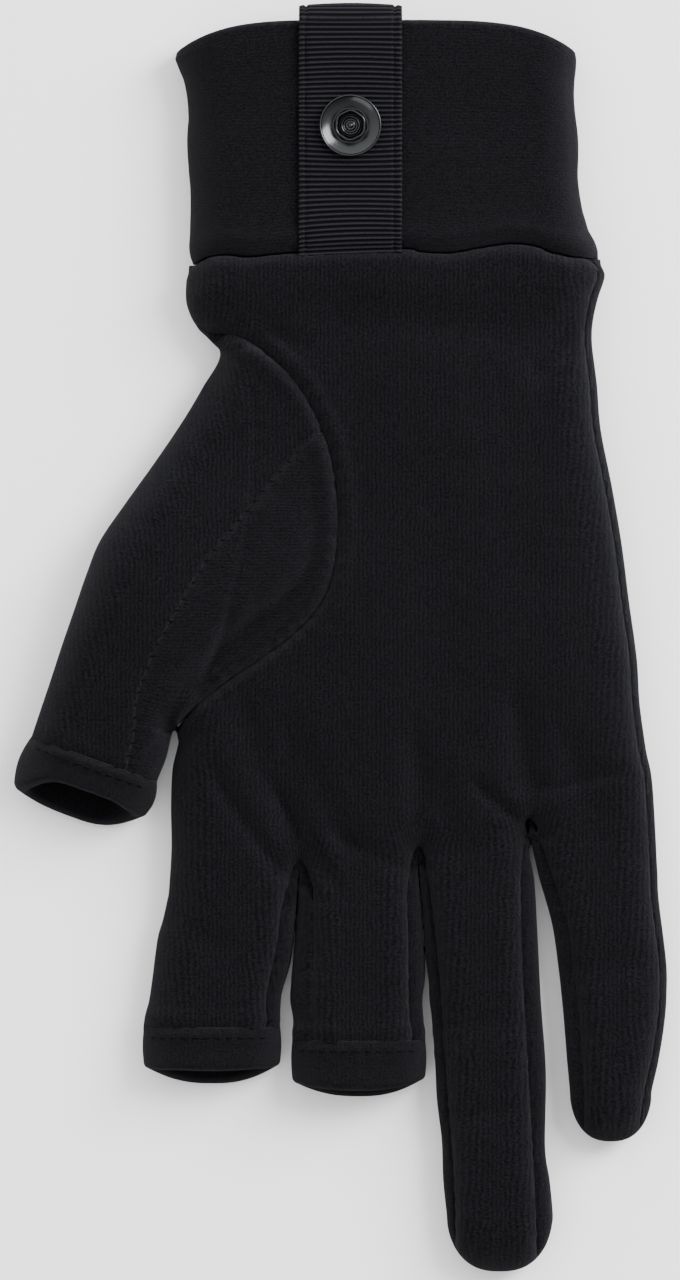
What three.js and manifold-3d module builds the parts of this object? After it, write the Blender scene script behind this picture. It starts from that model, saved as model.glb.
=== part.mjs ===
// A right-hand fishing glove of stretch fleece that lies palm up, in millimetres, +Z up.
// The fingers point to -Y, the thumb to -X, and the cloth rests on z = 0.
// Thumb, index and middle finger end in open hems, ring and little finger are closed.
import * as THREE from "three";
import { mergeVertices } from "three/addons/utils/BufferGeometryUtils.js";
import Module from "manifold-3d";

const wasm = await Module();
wasm.setup();

// Cloth and fit
const CLOTH = 1.4;
const CLEARANCE = 0.3;
const FOLD_SPACE = 0.4;

// Hand
const PALM_WIDTH = 97.4;
const PALM_LENGTH = 121.2;
const PALM_HEIGHT = 13.2;
const PALM_CROWN = 1.2;
const KNUCKLE_ANGLE = 8;
const WAIST_HEIGHT = 5;
const SIDE_ROUND = 8.5;

// Fingers, from the knuckle line to the end of the cloth
const INDEX_LENGTH = 39;
const MIDDLE_LENGTH = 45.1;
const RING_LENGTH = 83.3;
const LITTLE_LENGTH = 60.6;
const FINGER_HEIGHT = 11.2;
const LIP_SETBACK = 3.4;
const FOURCHETTE_SHOW = 3.4;
const ARCH_RISE = 4.6;

// Thumb, measured from its crotch along its own axis
const THUMB_WIDTH = 27;
const THUMB_GUSSET_LENGTH = 0.64 * PALM_LENGTH;
const THUMB_REACH = 23.7;
const THUMB_HEIGHT = 17.6;
const THUMB_WAIST = 6.4;
const THUMB_ANGLE = 20;
const THUMB_CROTCH_SHARE = 0.735;
const THUMB_LIP_SETBACK = 6;

// Cuff
const CUFF_WIDTH = 78.4;
const CUFF_LENGTH = 47.4;
const CUFF_HEIGHT = 12.8;
const CUFF_CROWN = 1.1;
const CUFF_ARCH = 5.4;
const SEAM_WAVE = 1.4;

// Ribbon tab
const RIBBON_WIDTH = 20.6;
const RIBBON_THICKNESS = 1;
const RIBBON_OFFSET = 2.7;
const RIBBON_TUCK = 11;
const RIBBON_LOOP = 1.6;

// Snap
const SNAP_DIAMETER = 12.4;
const SNAP_HEIGHT = 2.3;
const COLLAR_DIAMETER = 6.6;
const COLLAR_LOBES = 6;
const RIVET_SHANK = 1.8;
const RIVET_CAP = 9.6;
const RIVET_CAP_THICKNESS = 0.8;
const SNAP_DROP = 21.2;

// How the outline is rounded and the seams are led, as shares of the sizes above
const ROUND_SHARE = 0.42;
const WAVE_REACH = 0.08;
const CUFF_WAVE_REACH = 0.2;
const ARCH_ASIDE_POWER = 5;
const ARCH_UP_POWER = 4;
const CROWN_FADE = 4;
const TIP_TURN = 84;
const TIP_SIDE_POWER = 0.75;
const TIP_TOP_POWER = 0.5;
const SEAM_EXIT = { aside: 0.005, down: 0.062 };
const GUSSET_START = { up: 1, side: 0.7 };
const SLOT_REACH = 2 * CLOTH;
const SLOT_DEPTH = 6 * CLOTH;
const LOBE_DEPTH = 0.035;
const LOBE_FROM = 0.7;
const RIVET_STAND = 0.62;
const CAP_ROUND = 0.4;

// Fineness of the facets
const WELD = 1e-4;
const TINY = 1e-6;
const SIDE_STEPS = 3;
const PALM_STEPS = 8;
const FINGER_STEPS = 2;
const THUMB_STEPS = 4;
const TIP_STEPS = 4;
const SEAM_STEPS = 14;
const SNAP_SIDES = 20;

// The small waves of the cuff seam: high is a share of the wave's height, turns is how often it
// comes back across the cuff and start where it begins, both in radians.
const SEAM_WAVES = [
  { high: 0.6, turns: 7.5, start: 0.9 },
  { high: 0.45, turns: 15, start: 1.571 },
];

const FLEECE = { color: 0x1b1b1c, roughness: 0.95, metalness: 0 };
const RIBBON = { color: 0x1c1b20, roughness: 0.8, metalness: 0 };
const GUNMETAL = { color: 0x3a3c3d, roughness: 0.28, metalness: 1 };

// Rows of the hand from the cuff seam to the knuckle line: down is a share of the palm length,
// left and right are shares of the palm width from the hand's axis, top of the palm height.
const PALM_ROWS = [
  { down: 0.03, left: -0.31, right: 0.548, top: 1 },
  { down: 0.07, left: -0.308, right: 0.536, top: 1 },
  { down: 0.11, left: -0.285, right: 0.526, top: 0.99 },
  { down: 0.15, left: -0.275, right: 0.524, top: 0.99 },
  { down: 0.22, left: -0.281, right: 0.534, top: 1 },
  { down: 0.3, left: -0.29, right: 0.542, top: 1.01 },
  { down: 0.4, left: -0.3, right: 0.565, top: 1.01 },
  { down: 0.5, left: -0.308, right: 0.585, top: 1 },
  { down: 0.6, left: -0.32, right: 0.6, top: 1 },
  { down: 0.7, left: -0.333, right: 0.616, top: 0.98 },
  { down: 0.78, left: -0.337, right: 0.622, top: 0.96 },
  { down: 0.86, left: -0.341, right: 0.635, top: 0.92 },
  { down: 0.92, left: -0.34, right: 0.648, top: 0.86 },
  { down: 0.965, left: -0.343, right: 0.65, top: 0.73 },
  { down: 1, left: -0.337, right: 0.647, top: 0.52 },
];

// Cuff rows from the seam to the folded top edge: up is a share of the cuff length,
// left and right are shares of the cuff width from the hand's axis.
const CUFF_ROWS = [
  { up: 0, left: -0.374, right: 0.619, top: 1 },
  { up: 0.12, left: -0.376, right: 0.619, top: 1.02 },
  { up: 0.35, left: -0.38, right: 0.617, top: 1 },
  { up: 0.6, left: -0.379, right: 0.61, top: 0.98 },
  { up: 0.8, left: -0.392, right: 0.607, top: 1 },
  { up: 0.92, left: -0.41, right: 0.608, top: 1 },
  { up: 1, left: -0.405, right: 0.605, top: 0.98 },
];

// Finger rows: along is a share of the finger's length from the knuckle line,
// left and right are shares of the palm width from the hand's axis.
const FINGERS = {
  index: {
    length: INDEX_LENGTH,
    closed: false,
    rows: [
      { along: -0.35, left: -0.333, right: -0.076, top: 0.88 },
      { along: 0, left: -0.347, right: -0.086, top: 1 },
      { along: 0.35, left: -0.376, right: -0.097, top: 1 },
      { along: 0.56, left: -0.386, right: -0.115, top: 0.99 },
      { along: 0.72, left: -0.4, right: -0.117, top: 1 },
    ],
  },
  middle: {
    length: MIDDLE_LENGTH,
    closed: false,
    rows: [
      { along: -0.3, left: -0.072, right: 0.168, top: 0.88 },
      { along: 0, left: -0.0765, right: 0.169, top: 1 },
      { along: 0.33, left: -0.082, right: 0.174, top: 1.02 },
      { along: 0.56, left: -0.0955, right: 0.1755, top: 1 },
      { along: 0.76, left: -0.092, right: 0.184, top: 1.01 },
    ],
  },
  ring: {
    length: RING_LENGTH,
    closed: true,
    rows: [
      { along: -0.16, left: 0.179, right: 0.39, top: 0.88 },
      { along: 0, left: 0.179, right: 0.3945, top: 1 },
      { along: 0.17, left: 0.183, right: 0.411, top: 1.04 },
      { along: 0.35, left: 0.19, right: 0.419, top: 1 },
      { along: 0.52, left: 0.203, right: 0.429, top: 0.98 },
      { along: 0.7, left: 0.2155, right: 0.427, top: 1.02 },
      { along: 0.86, left: 0.225, right: 0.4435, top: 1 },
    ],
  },
  little: {
    length: LITTLE_LENGTH,
    closed: true,
    rows: [
      { along: -0.2, left: 0.409, right: 0.636, top: 0.88 },
      { along: 0, left: 0.41, right: 0.654, top: 0.98 },
      { along: 0.2, left: 0.431, right: 0.661, top: 1 },
      { along: 0.4, left: 0.454, right: 0.676, top: 1 },
      { along: 0.6, left: 0.466, right: 0.6735, top: 0.98 },
      { along: 0.83, left: 0.478, right: 0.65, top: 0.96 },
    ],
  },
};

// Thumb rows: up is a share of the gusset length above the crotch, left and right are shares of the
// thumb width from the axis through the crotch, top is a share of the thumb height.
const THUMB_ROWS = [
  { up: 0.95, left: 0.63, right: 0.22, top: 0.5 },
  { up: 0.85, left: 0.665, right: -0.28, top: 0.66 },
  { up: 0.75, left: 0.72, right: -0.48, top: 0.78 },
  { up: 0.625, left: 0.81, right: -0.6, top: 0.87 },
  { up: 0.5, left: 0.91, right: -0.62, top: 0.95 },
  { up: 0.39, left: 0.99, right: -0.46, top: 1 },
  { up: 0.3, left: 1, right: -0.27, top: 1.02 },
  { up: 0.2, left: 0.995, right: -0.17, top: 1 },
  { up: 0.1, left: 0.99, right: -0.09, top: 0.95 },
  { up: 0, left: 0.98, right: -0.015, top: 0.9 },
  { up: -0.08, left: 0.975, right: -0.02, top: 0.86 },
  { up: -0.15, left: 0.97, right: -0.015, top: 0.84 },
];

// The gusset seam on the palm and the seam of the thumb to the back, from the wrist to the crotch:
// up is a share of the gusset length above the crotch, side a share of the thumb width.
const GUSSET_SEAM = [
  { up: 0.992, side: 1.1 },
  { up: 0.992, side: 0.7 },
  { up: 1, side: 0.44 },
  { up: 0.964, side: 0.12 },
  { up: 0.908, side: -0.14 },
  { up: 0.776, side: -0.47 },
  { up: 0.69, side: -0.58 },
  { up: 0.5, side: -0.7 },
  { up: 0.424, side: -0.645 },
  { up: 0.332, side: -0.545 },
  { up: 0.267, side: -0.437 },
  { up: 0.173, side: -0.285 },
  { up: 0.11, side: -0.16 },
  { up: 0.02, side: -0.055 },
];
const THUMB_BACK_SEAM = [
  { up: 0.992, side: 1.1 },
  { up: 0.985, side: 0.7 },
  { up: 0.95, side: 0.44 },
  { up: 0.77, side: 0.15 },
  { up: 0.5, side: -0.04 },
  { up: 0.25, side: -0.11 },
  { up: 0.08, side: -0.1 },
  { up: 0.02, side: -0.055 },
];
const THUMB_TOP_SEAM = [
  { up: 0.86, side: -0.36 },
  { up: 0.775, side: -0.16 },
  { up: 0.55, side: 0.08 },
  { up: 0.437, side: 0.19 },
  { up: 0.278, side: 0.275 },
  { up: 0.165, side: 0.322 },
  { up: 0.04, side: 0.325 },
  { up: -0.04, side: 0.26 },
  { up: -0.2, side: 0.22 },
];
const THUMB_UNDER_SEAM = [
  { up: 0.13, side: -0.13 },
  { up: 0.06, side: 0.02 },
  { up: 0, side: 0.1 },
  { up: -0.2, side: 0.12 },
];

// Fourchettes: show is how much of the strip shows on the palm side of each finger, in shares of
// its normal width, at the crotch and at the finger's end; arch is how far above the crotch it starts.
const FOURCHETTES = [
  {
    name: "fourchette_index_middle",
    fingers: ["index", "middle"],
    left: [1.1, 0.68],
    right: [1, 1.35],
    arch: 1,
  },
  {
    name: "fourchette_middle_ring",
    fingers: ["middle", "ring"],
    left: [0.95, 0.72],
    right: [0.72, 0.68],
    arch: 0.8,
  },
  {
    name: "fourchette_ring_little",
    fingers: ["ring", "little"],
    left: [1.15, 0.8],
    right: [0.9, 0.7],
    arch: 1.5,
  },
];

// Where a fourchette's seam is led past a finger, as shares of the finger's length.
const STRIP_STATIONS = [1.1, 0.8, 0.55, 0.3, 0.12, 0.02];

// Soft valleys of the palm cloth: x and down place the middle, in shares of palm width and length,
// turn is the direction in degrees from the finger direction, long, wide and deep are shares of palm
// length, palm width and palm height.
const VALLEYS = [
  { x: -0.09, down: 0.9, turn: 18, long: 0.14, wide: 0.045, deep: 0.1 },
  { x: 0.17, down: 0.9, turn: -6, long: 0.12, wide: 0.04, deep: 0.09 },
  { x: 0.4, down: 0.84, turn: -12, long: 0.12, wide: 0.045, deep: 0.1 },
  { x: -0.16, down: 0.8, turn: 20, long: 0.13, wide: 0.05, deep: 0.06 },
  { x: 0.0, down: 0.5, turn: -14, long: 0.22, wide: 0.07, deep: 0.07 },
  { x: 0.05, down: 0.04, turn: 88, long: 0.3, wide: 0.05, deep: 0.06 },
];

const degrees = THREE.MathUtils.degToRad;
const lerp = THREE.MathUtils.lerp;
const point = (x, y) => new THREE.Vector2(x, y);

// A closed three.js geometry as a solid.
function solidFrom(geometry) {
  const bare = geometry.clone();
  bare.deleteAttribute("normal");
  bare.deleteAttribute("uv");
  const merged = mergeVertices(bare, WELD);
  const mesh = new wasm.Mesh({
    numProp: 3,
    vertProperties: new Float32Array(merged.attributes.position.array),
    triVerts: new Uint32Array(merged.index.array),
  });
  return new wasm.Manifold(mesh);
}

function geometryFrom(solid) {
  const mesh = solid.getMesh();
  const geometry = new THREE.BufferGeometry();
  geometry.setAttribute("position", new THREE.BufferAttribute(mesh.vertProperties, 3));
  geometry.setIndex(new THREE.BufferAttribute(mesh.triVerts, 1));
  geometry.computeVertexNormals();
  return geometry;
}

function indexed(points, index) {
  const geometry = new THREE.BufferGeometry();
  geometry.setAttribute("position", new THREE.Float32BufferAttribute(points.flatMap((p) => p.toArray()), 3));
  geometry.setIndex(index);
  return geometry;
}

// The small rise and fall of the seam between cuff and hand, at a place across the glove.
function seamWave(x) {
  const heights = SEAM_WAVES.map((wave) => wave.high * Math.sin(wave.turns * x / CUFF_WIDTH + wave.start));
  return SEAM_WAVE * heights.reduce((sum, height) => sum + height, 0);
}

// How far the palm cloth sinks at a place of the hand.
function valleyDepth(x, y) {
  const depths = VALLEYS.map((valley) => {
    const across = x - valley.x * PALM_WIDTH;
    const along = y + valley.down * PALM_LENGTH;
    const turn = degrees(valley.turn);
    const lengthwise = across * Math.sin(turn) + along * Math.cos(turn);
    const sideways = across * Math.cos(turn) - along * Math.sin(turn);
    const far = lengthwise / (valley.long * PALM_LENGTH);
    const wide = sideways / (valley.wide * PALM_WIDTH);
    return valley.deep * PALM_HEIGHT * Math.exp(-far * far - wide * wide);
  });
  return depths.reduce((sum, depth) => sum + depth, 0);
}

// One cross section: from the left edge over the top to the right edge, then back along the base.
// A row has left and right in plan, top, waist, crown, middle steps and a shape for its points.
function section(row, inset) {
  const direction = row.right.clone().sub(row.left).normalize();
  const width = row.right.distanceTo(row.left) - 2 * inset;
  const start = row.left.clone().addScaledVector(direction, inset);
  const round = Math.min(SIDE_ROUND, ROUND_SHARE * row.right.distanceTo(row.left)) - inset;
  const steps = 2 * SIDE_STEPS + row.steps;
  const upper = [];
  const lower = [];
  for (let i = 0; i <= steps; i += 1) {
    const edge = Math.min(i, steps - i, SIDE_STEPS) / SIDE_STEPS;
    const rise = Math.sin(edge * Math.PI / 2);
    const fromEdge = round * (1 - Math.cos(edge * Math.PI / 2));
    const share = THREE.MathUtils.clamp((i - SIDE_STEPS) / row.steps, 0, 1);
    const across = i < SIDE_STEPS ? fromEdge
      : i > steps - SIDE_STEPS ? width - fromEdge
        : lerp(round, width - round, share);
    const plan = start.clone().addScaledVector(direction, across);
    const crown = row.crown * (1 - (2 * share - 1) ** 2);
    const high = row.waist + (row.top - inset - row.waist) * rise + crown;
    const low = row.waist - (row.waist - inset) * rise;
    upper.push(row.shape(new THREE.Vector3(plan.x, plan.y, high), rise));
    lower.push(row.shape(new THREE.Vector3(plan.x, plan.y, low), -rise));
  }
  return [...upper, ...lower.slice(1, -1).reverse()];
}

// A closed solid through cross sections that run towards -Y.
function loft(sections) {
  const count = sections[0].length;
  const index = [];
  for (let i = 0; i + 1 < sections.length; i += 1) {
    for (let j = 0; j < count; j += 1) {
      const a = i * count + j;
      const b = i * count + ((j + 1) % count);
      index.push(a, b + count, b, a, a + count, b + count);
    }
  }
  const last = (sections.length - 1) * count;
  for (let i = 0; i < count / 2; i += 1) {
    const facing = (count - i) % count;
    const next = count - i - 1;
    if (i > 0) index.push(facing, i, i + 1);
    if (i > 0) index.push(last + facing, last + i + 1, last + i);
    if (i + 1 < count / 2) index.push(facing, i + 1, next);
    if (i + 1 < count / 2) index.push(last + facing, last + next, last + i + 1);
  }
  return solidFrom(indexed(sections.flat(), index));
}

// A band of cloth round a tube: its wall profile, as along and inset, closes on itself.
function band(rowAt, profile) {
  const rings = profile.map((step) => section(rowAt(step.along), step.inset));
  const count = rings[0].length;
  const index = [];
  rings.forEach((ring, i) => {
    const next = (i + 1) % rings.length;
    for (let j = 0; j < count; j += 1) {
      const k = (j + 1) % count;
      index.push(i * count + j, next * count + k, i * count + k);
      index.push(i * count + j, next * count + j, next * count + k);
    }
  });
  return solidFrom(indexed(rings.flat(), index));
}

// A thin upright wall along a line in plan, which parts the cloth where a seam runs.
function seamWall(line, low, high, width) {
  const points = [];
  line.forEach((place, i) => {
    const before = line[Math.max(i - 1, 0)];
    const after = line[Math.min(i + 1, line.length - 1)];
    const along = after.clone().sub(before).normalize();
    const side = point(-along.y, along.x).multiplyScalar(width / 2);
    points.push(new THREE.Vector3(place.x - side.x, place.y - side.y, low));
    points.push(new THREE.Vector3(place.x + side.x, place.y + side.y, low));
    points.push(new THREE.Vector3(place.x + side.x, place.y + side.y, high));
    points.push(new THREE.Vector3(place.x - side.x, place.y - side.y, high));
  });
  const index = [0, 2, 1, 0, 3, 2];
  for (let i = 0; i + 1 < line.length; i += 1) {
    for (let j = 0; j < 4; j += 1) {
      const a = 4 * i + j;
      const b = 4 * i + ((j + 1) % 4);
      index.push(a, b, a + 4, b, b + 4, a + 4);
    }
  }
  const end = 4 * (line.length - 1);
  index.push(end, end + 1, end + 2, end, end + 2, end + 3);
  return solidFrom(indexed(points, index));
}

function smoothLine(points, steps) {
  return new THREE.SplineCurve(points).getPoints(steps);
}

// The hand's rows, the knuckle line and what its cloth does near the cuff and in the valleys.
const knuckleSkew = PALM_WIDTH * Math.tan(degrees(KNUCKLE_ANGLE));
const handLeftLength = PALM_LENGTH + knuckleSkew / 2;
const handRightLength = PALM_LENGTH - knuckleSkew / 2;

function handShape(place, rise) {
  const near = Math.exp(-((place.y / (WAVE_REACH * PALM_LENGTH)) ** 2));
  const sink = rise > 0 ? rise * valleyDepth(place.x, place.y) : 0;
  return new THREE.Vector3(place.x, place.y + near * seamWave(place.x), place.z - sink);
}

function handRow(row) {
  return {
    left: point(row.left * PALM_WIDTH, -row.down * handLeftLength),
    right: point(row.right * PALM_WIDTH, -row.down * handRightLength),
    top: row.top * PALM_HEIGHT,
    waist: WAIST_HEIGHT,
    crown: PALM_CROWN * Math.min(1, CROWN_FADE * (1 - row.down)),
    steps: PALM_STEPS,
    shape: handShape,
  };
}

function wristRow(y) {
  const cuffEnd = CUFF_ROWS[0];
  return {
    left: point(cuffEnd.left * CUFF_WIDTH, y),
    right: point(cuffEnd.right * CUFF_WIDTH, y),
    top: CUFF_HEIGHT,
    waist: WAIST_HEIGHT,
    crown: CUFF_CROWN,
    steps: PALM_STEPS,
    shape: handShape,
  };
}

const handRows = [wristRow(-CLEARANCE / 2), ...PALM_ROWS.map(handRow)];
const firstKnuckle = handRows.at(-1).left;
const lastKnuckle = handRows.at(-1).right;

function knuckleAt(x) {
  return lerp(firstKnuckle.y, lastKnuckle.y, (x - firstKnuckle.x) / (lastKnuckle.x - firstKnuckle.x));
}

function handSolid(inset) {
  const last = handRows.at(-1);
  const end = { ...last, left: last.left.clone(), right: last.right.clone() };
  end.left.y += inset;
  end.right.y += inset;
  const rows = [...handRows.slice(0, -1), end];
  const mouth = inset > 0 ? [wristRow(SLOT_REACH)] : [];
  return loft([...mouth, ...rows].map((row) => section(row, inset)));
}

// Fingers
function plainShape(place) {
  return place;
}

function fingerRow(finger, row) {
  const middle = (finger.rows[1].left + finger.rows[1].right) / 2 * PALM_WIDTH;
  const y = knuckleAt(middle) - row.along * finger.length;
  return {
    left: point(row.left * PALM_WIDTH, y),
    right: point(row.right * PALM_WIDTH, y),
    top: row.top * FINGER_HEIGHT,
    waist: WAIST_HEIGHT,
    crown: 0,
    steps: FINGER_STEPS,
    shape: plainShape,
  };
}

// A finger's row at any place along it, between the rows of its table.
function fingerRowAt(finger, along) {
  const rows = finger.rows;
  const next = Math.max(1, rows.findIndex((row) => row.along >= along));
  const to = along > rows.at(-1).along ? rows.at(-1) : rows[next];
  const from = along > rows.at(-1).along ? rows.at(-1) : rows[next - 1];
  const share = to === from ? 0 : (along - from.along) / (to.along - from.along);
  const between = {
    along,
    left: lerp(from.left, to.left, share),
    right: lerp(from.right, to.right, share),
    top: lerp(from.top, to.top, share),
  };
  return fingerRow(finger, between);
}

// Rows that round off a closed fingertip.
function tipRows(finger, inset) {
  const last = finger.rows.at(-1);
  const start = fingerRow(finger, last);
  const reach = (1 - last.along) * finger.length - inset;
  const middle = start.left.clone().lerp(start.right, 0.5);
  const rows = [];
  for (let i = 1; i <= TIP_STEPS; i += 1) {
    const turn = (i / TIP_STEPS) * degrees(TIP_TURN);
    const narrow = Math.cos(turn);
    const half = (start.right.x - start.left.x) / 2 * Math.pow(narrow, TIP_SIDE_POWER);
    const y = start.left.y - reach * Math.sin(turn);
    const low = Math.pow(narrow, TIP_TOP_POWER);
    rows.push({
      ...start,
      left: point(middle.x - Math.max(half, 2 * inset + FOLD_SPACE), y),
      right: point(middle.x + Math.max(half, 2 * inset + FOLD_SPACE), y),
      top: lerp(start.waist + inset + FOLD_SPACE, start.top, low),
    });
  }
  return rows;
}

function fingerSolid(finger, inset) {
  const rows = finger.rows.map((row) => fingerRow(finger, row));
  if (finger.closed) rows.push(...tipRows(finger, inset));
  else if (inset > 0) {
    const last = finger.rows.at(-1);
    rows.push(fingerRow(finger, { ...last, along: last.along + CLOTH / finger.length }));
  }
  return loft(rows.map((row) => section(row, inset)));
}

// The thumb's own frame: its crotch on the index side of the hand, its axis and its side direction.
const thumbAxis = point(-Math.sin(degrees(THUMB_ANGLE)), -Math.cos(degrees(THUMB_ANGLE)));
const thumbSide = point(-Math.cos(degrees(THUMB_ANGLE)), Math.sin(degrees(THUMB_ANGLE)));

function handLeftAt(down) {
  const next = PALM_ROWS.findIndex((row) => row.down >= down);
  const from = handRows[next];
  const to = handRows[next + 1];
  const y = -down * handLeftLength;
  return from.left.clone().lerp(to.left, (y - from.left.y) / (to.left.y - from.left.y));
}

const thumbCrotch = handLeftAt(THUMB_CROTCH_SHARE);

function thumbPlace(up, side) {
  const place = thumbCrotch.clone().addScaledVector(thumbAxis, -up * THUMB_GUSSET_LENGTH);
  return place.addScaledVector(thumbSide, side * THUMB_WIDTH);
}

function thumbRow(row) {
  return {
    left: thumbPlace(row.up, row.left),
    right: thumbPlace(row.up, row.right),
    top: row.top * THUMB_HEIGHT,
    waist: THUMB_WAIST,
    crown: 0,
    steps: THUMB_STEPS,
    shape: plainShape,
  };
}

function thumbSolid(inset) {
  const rows = THUMB_ROWS.map(thumbRow);
  const last = THUMB_ROWS.at(-1);
  if (inset > 0) rows.push(thumbRow({ ...last, up: last.up - CLOTH / THUMB_GUSSET_LENGTH }));
  return loft(rows.map((row) => section(row, inset)));
}

// The whole cloth of the hand as one hollow shell, before the seams part it.
function handShell() {
  const fingers = Object.values(FINGERS);
  const outer = [handSolid(0), thumbSolid(0), ...fingers.map((finger) => fingerSolid(finger, 0))];
  const inner = [handSolid(CLOTH), thumbSolid(CLOTH), ...fingers.map((finger) => fingerSolid(finger, CLOTH))];
  const join = (solids) => solids.reduce((sum, solid) => sum.add(solid));
  return join(outer).subtract(join(inner));
}

// Upper and lower seams reach a little past the widest height of the cloth, into the hollow.
const ABOVE = PALM_HEIGHT + THUMB_HEIGHT;
const BELOW = -CLOTH;
const SEAM_OVERLAP = 0.9 * CLOTH;

function upperSeam(line, waist) {
  return seamWall(line, waist - SEAM_OVERLAP, ABOVE, CLEARANCE);
}

function lowerSeam(line, waist) {
  return seamWall(line, BELOW, waist + SEAM_OVERLAP, CLEARANCE);
}

// How much of a fourchette shows beside a finger, from its crotch to its end.
function stripWidth(shares, along) {
  return lerp(shares[0], shares[1], Math.min(along, 1)) * FOURCHETTE_SHOW;
}

// The line of a fourchette's seam: up one finger, round the arch above the crotch, down the other.
function fourchetteLine(strip) {
  const [near, far] = strip.fingers.map((name) => FINGERS[name]);
  const nearSide = STRIP_STATIONS.map((along) => {
    const row = fingerRowAt(near, along);
    return point(row.right.x - stripWidth(strip.left, along), row.right.y);
  });
  const farSide = STRIP_STATIONS.map((along) => {
    const row = fingerRowAt(far, along);
    return point(row.left.x + stripWidth(strip.right, along), row.left.y);
  });
  const crotchX = (fingerRowAt(near, 0).right.x + fingerRowAt(far, 0).left.x) / 2;
  const arch = point(crotchX, knuckleAt(crotchX) + strip.arch * ARCH_RISE);
  return smoothLine([...nearSide, arch, ...farSide.reverse()], 2 * SEAM_STEPS);
}

// The seam runs straight through, so the strip is as wide on the back as on the palm side.
function fourchetteCut(strip) {
  return seamWall(fourchetteLine(strip), BELOW, ABOVE, CLEARANCE);
}

const thumbLine = (table) => smoothLine(table.map((row) => thumbPlace(row.up, row.side)), SEAM_STEPS);

function thumbCuts() {
  const exit = thumbCrotch.clone().sub(point(SEAM_EXIT.aside, SEAM_EXIT.down).multiplyScalar(PALM_WIDTH));
  return [
    upperSeam([...thumbLine(GUSSET_SEAM), exit], WAIST_HEIGHT),
    lowerSeam([...thumbLine(THUMB_BACK_SEAM), exit], WAIST_HEIGHT),
    upperSeam(thumbLine(THUMB_TOP_SEAM), THUMB_WAIST),
    lowerSeam(thumbLine(THUMB_UNDER_SEAM), THUMB_WAIST),
  ];
}

// The rim of a closed fingertip, from its right side round the end to its left side.
function tipRim(finger) {
  const rows = tipRows(finger, 0);
  return [...rows.map((row) => row.right), ...rows.map((row) => row.left).reverse()];
}

// Flat slots round the edge of the hand, which part the palm from the back.
function edgeCuts() {
  const low = WAIST_HEIGHT - CLEARANCE / 2;
  const slot = (line) => seamWall(line, low, low + CLEARANCE, SLOT_DEPTH);
  const gussetStart = thumbPlace(GUSSET_START.up, GUSSET_START.side);
  const lefts = handRows.map((row) => row.left).filter((place) => place.y > gussetStart.y);
  const rights = handRows.slice(0, -1).map((row) => row.right);
  const beyond = (place) => point(place.x, SLOT_REACH);
  const indexLine = FINGERS.index.rows.slice(1).map((row) => fingerRow(FINGERS.index, row).left);
  const indexEnd = indexLine.at(-1).clone().add(point(0, -SLOT_REACH));
  const littleLine = FINGERS.little.rows.slice(2).map((row) => fingerRow(FINGERS.little, row).right);
  return [
    slot([beyond(lefts[0]), ...lefts, gussetStart]),
    slot([thumbCrotch, handRows.at(-2).left, ...indexLine, indexEnd]),
    slot([beyond(rights[0]), ...rights, ...littleLine, ...tipRim(FINGERS.little)]),
    slot(tipRim(FINGERS.ring)),
  ];
}

// The body of a set that has a vertex nearest to a place on it.
function bodyAt(bodies, place) {
  const reach = bodies.map((body) => {
    const { vertProperties } = body.getMesh();
    let nearest = Infinity;
    for (let i = 0; i < vertProperties.length; i += 3) {
      const vertex = new THREE.Vector3().fromArray(vertProperties, i);
      nearest = Math.min(nearest, vertex.distanceTo(place));
    }
    return nearest;
  });
  return bodies[reach.indexOf(Math.min(...reach))];
}

// Places that tell the panels apart: shares of the palm's or the thumb's sizes.
const PALM_MARK = { x: 0.1, down: 0.5 };
const THUMB_FRONT_MARK = { up: 0.3, side: 1 };
const GUSSET_MARK = { up: 0.5, side: -0.3 };
const STRIP_MARK = 0.4;

// The cloth panels of the hand, cut apart along the seams.
function handPanels() {
  const cuts = [...thumbCuts(), ...edgeCuts(), ...FOURCHETTES.map(fourchetteCut)];
  const parted = cuts.reduce((cloth, cut) => cloth.subtract(cut), handShell());
  const bodies = parted.decompose();
  const raised = (place, height) => new THREE.Vector3(place.x, place.y, height);
  const thumbMark = (mark) => thumbPlace(mark.up, mark.side);
  const centre = point(PALM_MARK.x * PALM_WIDTH, -PALM_MARK.down * PALM_LENGTH);
  const panels = {
    palm_panel: bodyAt(bodies, raised(centre, PALM_HEIGHT)),
    back_panel: bodyAt(bodies, raised(centre, 0)),
    thumb_front_panel: bodyAt(bodies, raised(thumbMark(THUMB_FRONT_MARK), THUMB_WAIST)),
    thumb_gusset: bodyAt(bodies, raised(thumbMark(GUSSET_MARK), THUMB_HEIGHT)),
  };
  FOURCHETTES.forEach((strip) => {
    const row = fingerRowAt(FINGERS[strip.fingers[0]], STRIP_MARK);
    panels[strip.name] = bodyAt(bodies, raised(row.right, WAIST_HEIGHT));
  });
  return panels;
}

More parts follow.
